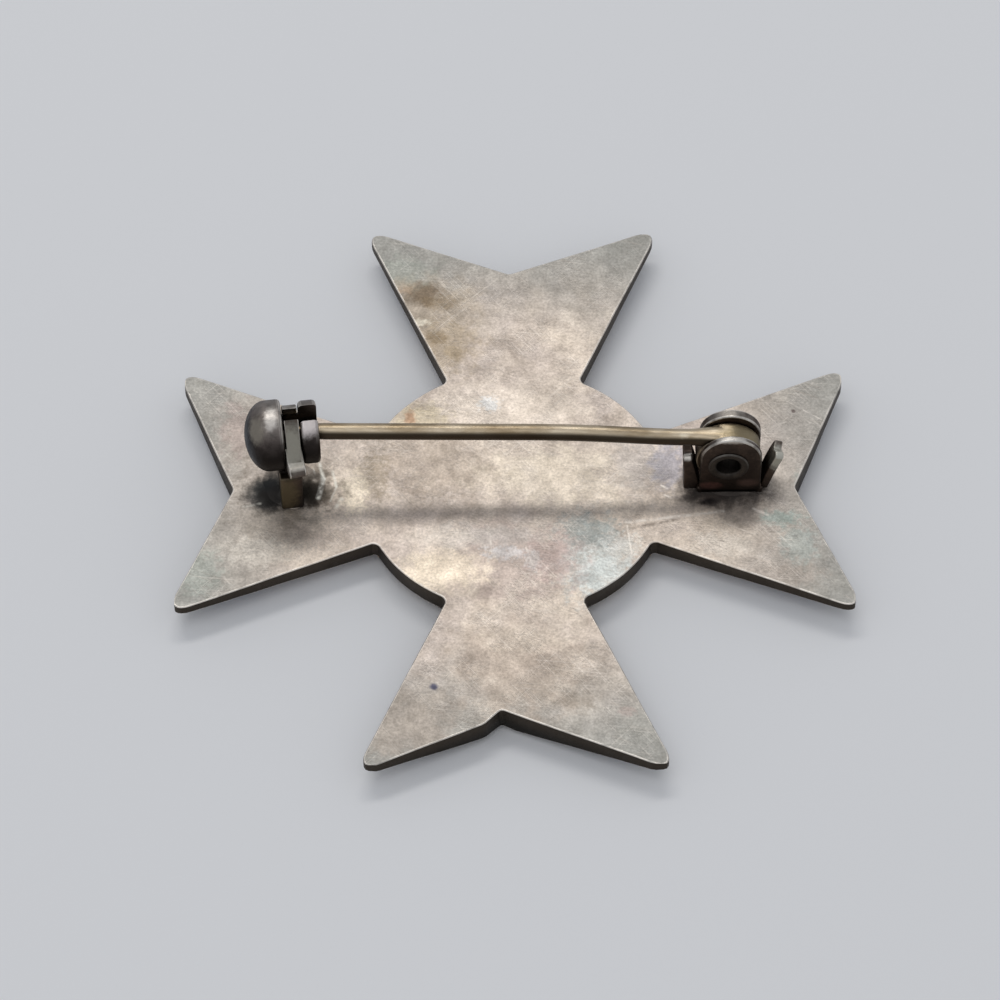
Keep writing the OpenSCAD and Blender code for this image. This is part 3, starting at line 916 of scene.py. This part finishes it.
arm_enamel = enamel_paint("arm_enamel", BLUE, DEEP_BLUE, (0.10, 0.14, 0.30))
for side, field in cells.items():
    field.name = side + "_field"
    field.data.name = field.name
    turn = math.radians(ARMS[side][0])
    for v in field.data.vertices:
        on_arm = Vector((v.co.x * math.cos(turn) + v.co.y * math.sin(turn),
                         v.co.y * math.cos(turn) - v.co.x * math.sin(turn)))
        if v.co.z > front_height(on_arm.y) + CELL_D / 2:
            v.co.z -= SEAT
    pick(field, "FACE", lambda f: abs(f.normal.z) < 0.5)
    bpy.ops.transform.shrink_fatten(value=-SEAT, use_even_offset=True)
    close()
    bevel_edges(field, front_rim, MENISCUS)
    hand_filed(field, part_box("enamel_" + side))
    turn_outwards(field)
    smooth(field, 50)
    finish(field, arm_enamel, "brooch", "enamel_" + side)

rim_r = BEZEL_R - BEZEL_W - SEAT
steps = [(rim_r - 0.1) * i / 16 for i in range(17)]
dome = [(DOME_LOW + DOME_R - height_at(DOME_R, r), r) for r in steps]
rim_x, rim_top = dome[-1][0], 2 * CELL_D - SEAT
profile = dome + [(rim_x + 0.04, rim_r - 0.03), (rim_x + 0.12, rim_r), (rim_top, rim_r), (rim_top, 0)]
middle_field = turned(lathe("middle_field", profile, 96), (0, -90, 0))
smooth(middle_field, 50)
ivory_enamel = enamel_paint("ivory_enamel", IVORY, IVORY_WARM, (0.35, 0.28, 0.19))
finish(middle_field, ivory_enamel, "brooch", "enamel_centre")


# The hinge
# A bracket of folded sheet, soldered on: a base, two ears that carry the rivet, and two side lugs
# bent outwards. The solder has run out round its base. It is nearly black with tarnish, with painted
# shade low down and on the front ear's face, and painted highlights on its tops and lug ends.
HINGE_X = 15.45
BRACKET_X = HINGE_X + 0.18
RIVET_Z = BACK_Z + 3.05
ARCH_Z = RIVET_Z + 0.72
EAR_W = 4.42
EAR_HOLE_R = 1.12
FRONT_EAR = (-0.5, 0.0)
BACK_EAR = (1.72, 2.42)
EAR_EDGE = 0.13
LUG_T = 0.65
LUG_W = 1.7
LUG_EDGE = 0.14
LUG_CUTS = (0.3, 0.45, 0.6, 0.72, 0.84)
LUG_CURL = 0.16
LUG_HOLLOW = 0.10
LEFT_LUG = (3.5, 10)
RIGHT_LUG = (3.9, 15)
SUNK = 0.05
MOUND = [(-0.03, 1.0), (0.10, 0.95), (0.25, 0.89), (0.45, 0.82), (0.66, 0.74), (0.83, 0.65), (0.94, 0.54),
         (1.0, 0.4)]
DARK_BRONZE = (0.092, 0.066, 0.052)
# The black of tarnish, also the colour of painted shade low down; and the pale of worn edges and painted
# highlights.
BLACK_TARNISH_AND_SHADE = (0.024, 0.019, 0.017)
WORN_AND_LIT = (0.80, 0.75, 0.68)


def arc(centre, radius, start, end, steps):
    """Points along an arc, from one angle to another in degrees."""
    angles = [math.radians(start + (end - start) * i / steps) for i in range(steps + 1)]
    return [(centre[0] + radius * math.cos(a), centre[1] + radius * math.sin(a)) for a in angles]


def cut_sheet(name, outline, thickness, edge):
    """A flat piece of sheet with this outline, in XY from z = 0 up, with its edges rounded."""
    sheet = plate(name, outline, 0, thickness)
    bevel_edges(sheet, lambda e: abs(e.verts[0].co.z - e.verts[1].co.z) < NEAR, edge)
    return sheet


def ear(name, front, back):
    """An ear across Y: straight sides up to a round arch, with the hole for the rivet."""
    foot = BACK_Z - SUNK
    outline = [(-EAR_W / 2, foot), (EAR_W / 2, foot)] + arc((0, ARCH_Z), EAR_W / 2, 0, 180, 40)
    sheet = cut_sheet(name, outline, back - front, EAR_EDGE)
    turned(sheet, (90, 0, 0))
    moved(sheet, (BRACKET_X, back, 0))
    hole = turned(round_bar("hole", EAR_HOLE_R, -5, 5, 64), (90, 0, 0))
    combine(sheet, moved(hole, (HINGE_X, 0, RIVET_Z)), "DIFFERENCE")
    return sheet


def side_lug(name, side, height, lean):
    """A side lug: a tongue of sheet that leans away from the ears, with its end curled and worn hollow."""
    outline = [(0, -0.1), (LUG_W, -0.1), (LUG_W, height * 0.45)]
    outline += arc((LUG_W - 0.32, height - 0.42), 0.32, 0, 80, 6)
    outline += [(LUG_W * 0.62, height - 0.28), (LUG_W * 0.45, height - 0.22)]
    outline += arc((0.4, height - 0.4), 0.4, 80, 180, 6) + [(0, height * 0.45)]
    lug = cut_sheet(name, outline, LUG_T, LUG_EDGE)
    cut_across(lug, [((0, height * part, 0), (0, 1, 0)) for part in LUG_CUTS])
    for v in lug.data.vertices:
        rise = max(0.0, v.co.y / height - LUG_CUTS[0]) / (1 - LUG_CUTS[0])
        hollow = LUG_HOLLOW * (1 - (2 * v.co.x / LUG_W - 1) ** 2)
        v.co.z += side * (LUG_CURL * rise ** 2 - hollow * rise)
        if side < 0 and v.co.z < LUG_T / 2:
            v.co.z -= 0.6 * max(0.0, 1 - max(0.0, v.co.y) / height)
    turned(lug, (90, 0, 90))
    if side < 0:
        moved(lug, (-LUG_T, 0, 0))
    turned(lug, (0, side * lean, 0))
    return moved(lug, (BRACKET_X + side * (EAR_W / 2 - 0.1), FRONT_EAR[0] + 0.4, BACK_Z))


def rounded_block(name, low, high, edge):
    """A block with rounded edges."""
    slab = block(name, low, high)
    bevel_edges(slab, lambda e: True, edge)
    return slab


def solder(name, centre, half, height):
    """The solder that has run out round a fitting: a low uneven mound on the back of the cross."""
    deselect()
    bpy.ops.mesh.primitive_circle_add(vertices=96, radius=1, fill_type="NGON", location=(0, 0, -SUNK))
    mound = added(name)
    pick_all(mound)
    low, size = -SUNK, 1.0
    for rise, reach in MOUND:
        high = rise * height
        extrude((0, 0, high - low))
        bpy.ops.transform.resize(value=(reach / size, reach / size, 1), center_override=(0, 0, 0))
        low, size = high, reach
    close()
    for v in mound.data.vertices:
        way = math.atan2(v.co.y, v.co.x)
        run = 1 + 0.07 * math.sin(2 * way + centre[0]) + 0.05 * math.sin(3 * way + 1)
        run += 0.025 * math.sin(7 * way)
        x, y = v.co.x * half[0], v.co.y * half[1]
        lump = 0.4 * noise.noise(Vector((x, y, centre[0])) * 1.1) if v.co.z > 0 else 0
        v.co = (x * run, y * run, v.co.z * (1 + lump))
    turn_outwards(mound)
    moved(mound, (*centre, BACK_Z))
    smooth(mound, 60)
    return mound


def joined(name, parts):
    """Solders parts together into one piece."""
    deselect()
    for part in parts:
        part.select_set(True)
    bpy.context.view_layer.objects.active = parts[0]
    bpy.ops.object.join()
    whole = bpy.context.object
    whole.name = name
    whole.data.name = name
    return whole


front_ear = ear("front_ear", *FRONT_EAR)
back_ear = ear("back_ear", *BACK_EAR)
hinge_base = rounded_block(
    "hinge_base", (BRACKET_X - EAR_W / 2 - 0.2, FRONT_EAR[0], BACK_Z - 0.1),
    (BRACKET_X + EAR_W / 2 + 0.2, BACK_EAR[1], BACK_Z + 0.5), 0.18)
left_lug = side_lug("left_lug", -1, *LEFT_LUG)
right_lug = side_lug("right_lug", 1, *RIGHT_LUG)
hinge = joined("hinge_bracket", [front_ear, back_ear, hinge_base, left_lug, right_lug])
note_wear_and_top_light(hinge, 0.4)
smooth(hinge)


def fitting_paint(name, body_colour, dark_colour, shade_below, worn_and_lit_above, highlights_shades_and_tints):
    """Darkened nickel silver, clouded with tarnish, with painted shade below, edges and tops painted bright
    higher up as wear and painted highlight, and listed painted highlights, shade and tints.
    """
    paint, place = new_paint(name)
    tone = mixed(cloudy(place, 1.1, 0.3, 3.5, 17), body_colour, dark_colour)
    height = plus(add_node("SeparateXYZ", {0: place}).outputs[2], cloudy(place, 1.4, 0, 2.5, 13))
    # Painted shade: darker towards the bottom.
    tone = mixed(ramp(height, *shade_below), dark_colour, tone)
    # Bright edges and upward faces, high up only: wear and painted highlight.
    edge = times(use(worn_and_lit_edges, Place=place, Level=0.08), ramp(height, *worn_and_lit_above))
    tone = laid(edge, 0.85, tone, WORN_AND_LIT)
    # Painted highlights, painted shade and colour tints at listed places.
    for centre, reach, tint, strength in highlights_shades_and_tints:
        mask = use(stain, Place=place, Centre=centre, Reach=reach, Ragged=0.8, Size=0.3)
        tone = laid(mask, strength, tone, tint)
    fine = cloudy(place, 0.6, 0.5, 2.0, 19)
    surface(tone, minus(ramp(fine, 0, 1, 0.38, 0.55), times(edge, 0.12)), fine, 0.018)
    return paint


# Painted shade on the front ear's face, painted highlights on the lug ends and the arch, and red-brown tints
# low on the front ear.
HINGE_HIGHLIGHTS_SHADE_AND_TINTS = [
    ((15.6, -0.55, BACK_Z + 2.5), (3.0, 0.5, 3.3), (0.026, 0.019, 0.016), 0.8),
    ((12.55, 0.25, BACK_Z + 3.4), (0.55, 0.5, 0.4), WORN_AND_LIT, 0.95),
    ((19.0, 0.2, BACK_Z + 3.2), (0.9, 1.1, 1.4), (0.60, 0.58, 0.51), 0.9),
    ((14.2, -0.5, BACK_Z + 0.8), (1.0, 0.4, 0.5), (0.20, 0.10, 0.085), 0.7),
    ((16.9, -0.5, BACK_Z + 1.1), (0.9, 0.4, 0.5), (0.15, 0.095, 0.08), 0.6),
    ((15.7, -0.35, BACK_Z + 5.85), (1.5, 0.35, 0.3), (0.80, 0.76, 0.70), 0.6),
]
hinge_metal = fitting_paint("hinge_metal", DARK_BRONZE, BLACK_TARNISH_AND_SHADE, (BACK_Z - 0.5, BACK_Z + 1.4),
                            (BACK_Z + 2.8, BACK_Z + 6.0), HINGE_HIGHLIGHTS_SHADE_AND_TINTS)
finish(hinge, hinge_metal, "brooch", "cross_plate")
hinge_solder = solder("hinge_solder", (BRACKET_X, 0.95), (2.9, 1.75), 0.12)
finish(hinge_solder, silver, "brooch", "cross_plate")


# The rivet
# A hollow rivet of nickel silver through the ears and the pin's knuckle, with its ends rolled over
# the ears. It is one turned ring, and the pin swings about it.
RIVET_R = 1.1
RIVET_BORE_R = 0.86
RIVET_RIM_R = 1.47
RIVET_DARK = (0.058, 0.049, 0.042)
RIVET_BLACK = (0.028, 0.024, 0.021)

depth = BACK_EAR[1] - FRONT_EAR[0]
half_profile = [
    (0.02, RIVET_R), (0, RIVET_RIM_R - 0.06), (-0.04, RIVET_RIM_R - 0.01), (-0.09, RIVET_RIM_R - 0.03),
    (-0.13, RIVET_RIM_R - 0.12), (-0.15, RIVET_RIM_R - 0.25), (-0.14, 1.08), (-0.10, 0.96),
    (-0.02, 0.89), (0.12, RIVET_BORE_R)]
profile = half_profile + [(depth - x, r) for x, r in reversed(half_profile)] + [half_profile[0]]
rivet = turned(lathe("rivet_tube", profile), (0, 0, 90))
moved(rivet, (HINGE_X, FRONT_EAR[0], RIVET_Z))
note_wear_and_top_light(rivet, 0.1)
smooth(rivet, 50)
# Painted shade: the rivet is painted darker at its lowest part.
rivet_metal = fitting_paint("rivet_metal", RIVET_DARK, RIVET_BLACK, (BACK_Z, BACK_Z + 2),
                            (BACK_Z + 2, BACK_Z + 11), [])
finish(rivet, rivet_metal, "brooch", "hinge_rivet")


# The pin
# A drawn brass wire whose end is flattened into a round knuckle on the rivet. It rises a little
# towards the catch, and its tip is ground thin. Its underside is painted dark, as painted shade.
PIN_Y = 0.86
WIRE_R = 0.6
KNUCKLE_R = 2.35
KNUCKLE_W = 1.6
KNUCKLE_BORE_R = 1.16
STRAIGHT_LEN = 2.95
FIRST_BEND = (25, 5)
MIDDLE_LEN = 2.9
SECOND_BEND = (90, -4.1)
LAST_LEN = 14.6
TIP_LEN = 2.8
TIP_R = 0.42
WIRE_SIDES = 32
FLARE_START = 0.1
FLARE_END = 3.0
BRASS = (0.45, 0.36, 0.245)
PALE_BRASS = (0.61, 0.515, 0.385)
BROWN_BRASS = (0.20, 0.13, 0.06)
DARK_BRASS = (0.035, 0.024, 0.015)


def wire_line():
    """Points along the wire's centre line from above the rivet, as (x, z, distance along it)."""
    point, heading, along = Vector((HINGE_X, RIVET_Z + KNUCKLE_R - WIRE_R - 0.05)), 0.0, 0.0
    line = [(point.x, point.y, 0.0)]

    def walk(length, turn, pieces):
        nonlocal point, heading, along
        for _ in range(pieces):
            heading += turn / pieces / 2
            point = point + Vector((-math.cos(heading), math.sin(heading))) * length / pieces
            heading += turn / pieces / 2
            along += length / pieces
            line.append((point.x, point.y, along))

    walk(STRAIGHT_LEN, 0, 12)
    walk(math.radians(FIRST_BEND[1]) * FIRST_BEND[0], math.radians(FIRST_BEND[1]), 6)
    walk(MIDDLE_LEN, 0, 4)
    walk(math.radians(-SECOND_BEND[1]) * SECOND_BEND[0], math.radians(SECOND_BEND[1]), 8)
    walk(LAST_LEN, 0, 16)
    walk(TIP_LEN, 0, 6)
    return line


def flatness(along):
    """How flat the wire is at a distance along it: 1 at the knuckle, 0 where it is round."""
    flat = max(0.0, min(1.0, (FLARE_END - along) / (FLARE_END - FLARE_START)))
    return flat * flat * (3 - 2 * flat)


def wire_section(along, whole):
    """Half width and half height of the wire at a distance along it."""
    flat = flatness(along)
    thin = max(0.0, (along - (whole - TIP_LEN)) / TIP_LEN)
    radius = WIRE_R + (TIP_R - WIRE_R) * thin
    return radius + (KNUCKLE_W / 2 - 0.04 - WIRE_R) * flat, radius + 0.03 * flat


line = wire_line()
whole = line[-1][2]
deselect()
bpy.ops.mesh.primitive_circle_add(
    vertices=WIRE_SIDES, radius=1, fill_type="NGON", rotation=(0, math.pi / 2, 0),
    location=(line[0][0], PIN_Y, line[0][1]))
pin = added("pin_wire")
pick_all(pin)
width, height = wire_section(0, whole)
bpy.ops.transform.resize(value=(1, width, height), center_override=(line[0][0], PIN_Y, line[0][1]))
for (x0, z0, s0), (x1, z1, s1) in zip(line, line[1:]):
    old = wire_section(s0, whole)
    new = wire_section(s1, whole)
    extrude((x1 - x0, 0, z1 - z0))
    bpy.ops.transform.resize(
        value=(1, new[0] / old[0], new[1] / old[1]), center_override=(x1, PIN_Y, z1))
bpy.ops.mesh.bevel(offset=0.14, segments=3, affect="EDGES")
close()
flare = [(x, z, s) for x, z, s in line if s < FLARE_END]
for v in pin.data.vertices:
    if v.co.x > flare[-1][0]:
        x, z, s = min(flare, key=lambda point: abs(point[0] - v.co.x))
        wide, high = wire_section(s, whole)
        across_part, up_part = (v.co.y - PIN_Y) / wide, (v.co.z - z) / high
        square = (abs(across_part) ** 4 + abs(up_part) ** 4) ** 0.25
        reach = 1 + (1 / max(square, 0.2) - 1) * flatness(s) * 0.9 if square > 0.5 else 1
        v.co.y = PIN_Y + wide * across_part * reach
        v.co.z = z + high * up_part * reach
turn_outwards(pin)
knuckle = turned(round_bar("knuckle", KNUCKLE_R, -KNUCKLE_W / 2, KNUCKLE_W / 2, 96), (90, 0, 0))
moved(knuckle, (HINGE_X, PIN_Y, RIVET_Z))
bevel_edges(knuckle, lambda e: abs(e.verts[0].co.y - e.verts[1].co.y) < NEAR, 0.12)
combine(pin, knuckle, "UNION")
bore = turned(round_bar("bore", KNUCKLE_BORE_R, -5, 5, 64), (90, 0, 0))
combine(pin, moved(bore, (HINGE_X, PIN_Y, RIVET_Z)), "DIFFERENCE")
note_wear_and_top_light(pin)
# Painted shade: how far each point faces away from above, for the paint to darken.
note(pin, "shaded", "POINT", lambda v: max(0.0, min(1.0, (0.93 - v.normal.z) / 0.46)))
smooth(pin, 40)

# A painted highlight on the wire beside the hinge, and a darker colour tint on the knuckle.
PIN_HIGHLIGHT_AND_TINT = [
    ((12.2, 0.5, 8.0), (0.5, 0.4, 0.5), (0.92, 0.83, 0.66)),
    ((HINGE_X + 0.9, PIN_Y, RIVET_Z + 1.2), (2.3, 1.6, 2.2), (0.27, 0.22, 0.13)),
]
pin_brass, place = new_paint("pin_brass")
stretched = vectors("MULTIPLY", place, (0.3, 1, 1))
tone = mixed(cloudy(stretched, 0.9, 0.45, 3.5, 23), BRASS, PALE_BRASS)
tone = mixed(cloudy(stretched, 1.6, 0.12, 4.0, 29), tone, BROWN_BRASS)
# Painted shade on the wire's underside.
shaded = plus(noted("shaded"), cloudy(stretched, 0.8, -0.5, 0.8, 37))
tone = mixed(ramp(shaded, 0.2, 0.95, 0.0, 0.95), tone, DARK_BRASS)
for centre, reach, tint in PIN_HIGHLIGHT_AND_TINT:
    mask = use(stain, Place=place, Centre=centre, Reach=reach, Ragged=0.7, Size=0.4)
    tone = laid(mask, 0.8, tone, tint)
tone = laid(use(worn_and_lit_edges, Place=place, Level=0.1), 0.4, tone, PALE_BRASS)
drawn = cloudy(vectors("MULTIPLY", place, (0.08, 1, 1)), 0.12, 0.5, 2.0, 41)
surface(tone, ramp(drawn, 0, 1, 0.30, 0.46), drawn, 0.008)
finish(pin, pin_brass, "pin", "pin_stem")


# The catch
# A foot soldered on a round base carries a C-shaped plate, open at the top, with a turned-out toe
# in front. The rotor turns in the plate: a domed knob, a hub and a slotted disc in one piece.
CATCH_AT = (-14.7, PIN_Y, BACK_Z)
CATCH_YAW = 7
ROTOR_H = 5.62
KNOB_R = 2.56
KNOB_BAND = 1.1
KNOB_CAP = 1.65
DISC_HALF = 0.65
SLOTTED_R = 2.28
HUB_R = 1.45
HUB_BORE_R = 1.51
C_T = 1.05
C_R = 2.75
C_BACK_R = 2.05
SLOT_W = 1.42
HUB_END = -1.9
C_LOW = -1.8
C_LIP = (-SLOT_W / 2 - 0.02, 2.45)
C_BROW = (-C_R, 0.13)
COLUMN_HALF = 1.9
FOOT_T = 1.6
FOOT_HALF = 2.45
FOOT_H = 3.45
FOOT_X = C_LOW - 0.6
CATCH_BASE_R = 2.2
NICKEL = (0.15, 0.123, 0.112)
NICKEL_DARK = (0.020, 0.016, 0.014)


def at_catch(piece):
    """Places a piece that was modelled about the catch's own point on the back of the cross."""
    turned(piece, (0, 0, CATCH_YAW))
    return moved(piece, CATCH_AT)


def across(sheet, x):
    """Stands a sheet across the rotor's axis, from x on, with its outline about that axis."""
    turned(sheet, (90, 0, 90))
    return moved(sheet, (x, 0, ROTOR_H))


def angle_of(x, y):
    """The angle of a point about the rotor's axis, in degrees."""
    return math.degrees(math.atan2(y, x))


mouth_half = SLOT_W / 2 + 0.02
foot_angle = angle_of(COLUMN_HALF, -height_at(C_BACK_R, COLUMN_HALF))
lip_angle = angle_of(mouth_half, height_at(C_BACK_R, mouth_half))
bore_angle = angle_of(mouth_half, height_at(HUB_BORE_R, mouth_half))
brow_angle = angle_of(-COLUMN_HALF, -height_at(C_R, COLUMN_HALF)) + 360
c_outline = [(COLUMN_HALF, -ROTOR_H - SUNK)]
c_outline += arc((0, 0), C_BACK_R, foot_angle, lip_angle, 36)
c_outline += arc((0, 0), HUB_BORE_R, bore_angle, 180 - bore_angle - 360, 48)
c_outline += [C_LIP, C_BROW]
c_outline += arc((0, 0), C_R, 184, brow_angle, 12)
c_outline += [(-COLUMN_HALF, -ROTOR_H - SUNK)]
c_plate = across(cut_sheet("c_plate", c_outline, C_T, 0.07), C_LOW)
toe_outline = [(-2.0, -1.35), (-2.0, 0.75), (-2.33, 0.62), (-2.75, 0.13), (-3.05, 0.03)]
toe_outline += arc((-3.16, -0.49), 0.49, 90, 255, 14) + [(-2.75, -1.12)]
toe = turned(cut_sheet("toe", toe_outline, 1.2, 0.09), (90, 0, 90))
turned(toe, (0, 0, 7))
moved(toe, (C_LOW - 0.36, 0, ROTOR_H))
foot = rounded_block(
    "foot", (FOOT_X, -FOOT_HALF, -SUNK), (FOOT_X + FOOT_T, FOOT_HALF, FOOT_H), 0.15)
saddle = moved(turned(round_bar("saddle", KNOB_R + 0.3, -5, 5, 96), (0, 90, 0)), (0, 0, ROTOR_H))
combine(foot, saddle, "DIFFERENCE")
catch = at_catch(joined("catch_base", [c_plate, toe, foot]))
note_wear_and_top_light(catch, 0.6)
smooth(catch)

# A painted highlight on the toe and painted shade under it, a painted highlight on the C plate, and a
# yellow-brown tint on the foot.
CATCH_HIGHLIGHTS_SHADE_AND_TINT = [
    ((-16.6, -2.2, BACK_Z + 5.6), (1.0, 0.6, 0.45), (0.85, 0.80, 0.75), 0.95),
    ((-16.6, -2.6, BACK_Z + 4.5), (1.0, 0.6, 0.5), (0.10, 0.075, 0.055), 0.9),
    ((-15.9, -1.4, BACK_Z + 6.6), (1.3, 1.9, 2.2), (0.36, 0.34, 0.285), 0.9),
    ((-16.5, -1.6, BACK_Z + 1.8), (1.2, 1.2, 2.2), (0.19, 0.155, 0.09), 0.62),
]
# Painted shade: the catch is painted darker towards its foot.
catch_metal = fitting_paint("catch_metal", DARK_BRONZE, BLACK_TARNISH_AND_SHADE, (BACK_Z + 0.5, BACK_Z + 3.5),
                            (BACK_Z + 3.7, BACK_Z + 5.5), CATCH_HIGHLIGHTS_SHADE_AND_TINT)
finish(catch, catch_metal, "brooch", "cross_plate")
catch_solder = solder("catch_solder", (-16.05, 0.4), (CATCH_BASE_R, CATCH_BASE_R), 0.3)
finish(catch_solder, silver, "brooch", "cross_plate")

rim = [(DISC_HALF, SLOTTED_R - 0.3), (0.62, SLOTTED_R - 0.16), (0.53, SLOTTED_R - 0.06), (0.38, SLOTTED_R)]
rotor_profile = [(DISC_HALF, 0)] + rim + [(-x, r) for x, r in reversed(rim)]
rotor_profile += [
    (-DISC_HALF, HUB_R + 0.08), (-DISC_HALF - 0.06, HUB_R), (HUB_END + 0.06, HUB_R),
    (HUB_END, HUB_R + 0.08), (HUB_END, KNOB_R - 0.25), (HUB_END - 0.05, KNOB_R - 0.1),
    (HUB_END - 0.16, KNOB_R - 0.02), (HUB_END - 0.3, KNOB_R), (HUB_END - KNOB_BAND, KNOB_R)]
for lean in range(5, 95, 5):
    lean = math.radians(lean)
    rotor_profile.append((HUB_END - KNOB_BAND - KNOB_CAP * math.sin(lean), KNOB_R * math.cos(lean)))
rotor_profile[-1] = (HUB_END - KNOB_BAND - KNOB_CAP, 0)
rotor = lathe("rotor", rotor_profile, 96)
slot_bore = turned(round_bar("slot_bore", SLOT_W / 2, HUB_END, 3, 48), (0, 90, 0))
slot = block("slot", (HUB_END, -SLOT_W / 2, 0), (3, SLOT_W / 2, 4))
combine(slot_bore, slot, "UNION")
combine(rotor, slot_bore, "DIFFERENCE")
moved(rotor, (0, 0, ROTOR_H))
at_catch(rotor)
note_wear_and_top_light(rotor, 0.2)
smooth(rotor, 40)
# Painted shade on the knob's left side, and painted highlights on its dome, its band and the disc; they turn
# with the rotor.
ROTOR_HIGHLIGHTS_AND_SHADE = [
    ((-19.4, -0.4, BACK_Z + 5.7), (0.95, 2.9, 2.9), (0.026, 0.027, 0.033), 0.92),
    ((-18.3, -0.4, BACK_Z + 7.4), (0.75, 1.3, 0.9), (0.29, 0.26, 0.215), 0.85),
    ((-17.3, 0.1, BACK_Z + 8.1), (0.55, 1.2, 0.6), (0.58, 0.54, 0.50), 0.95),
    ((-14.7, -0.2, BACK_Z + 7.8), (1.2, 1.5, 0.9), (0.64, 0.58, 0.56), 0.95),
]
# Painted shade: the lower part of the rotor is painted nearly black.
rotor_metal = fitting_paint("rotor_metal", NICKEL, NICKEL_DARK, (BACK_Z + 5.8, BACK_Z + 8.4),
                            (BACK_Z + 6.5, BACK_Z + 8.0), ROTOR_HIGHLIGHTS_AND_SHADE)
finish(rotor, rotor_metal, "rotor", "catch_rotor")

size = {"cad": [list(corner) for corner in cad_box], "visual": [list(corner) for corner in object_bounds()]}
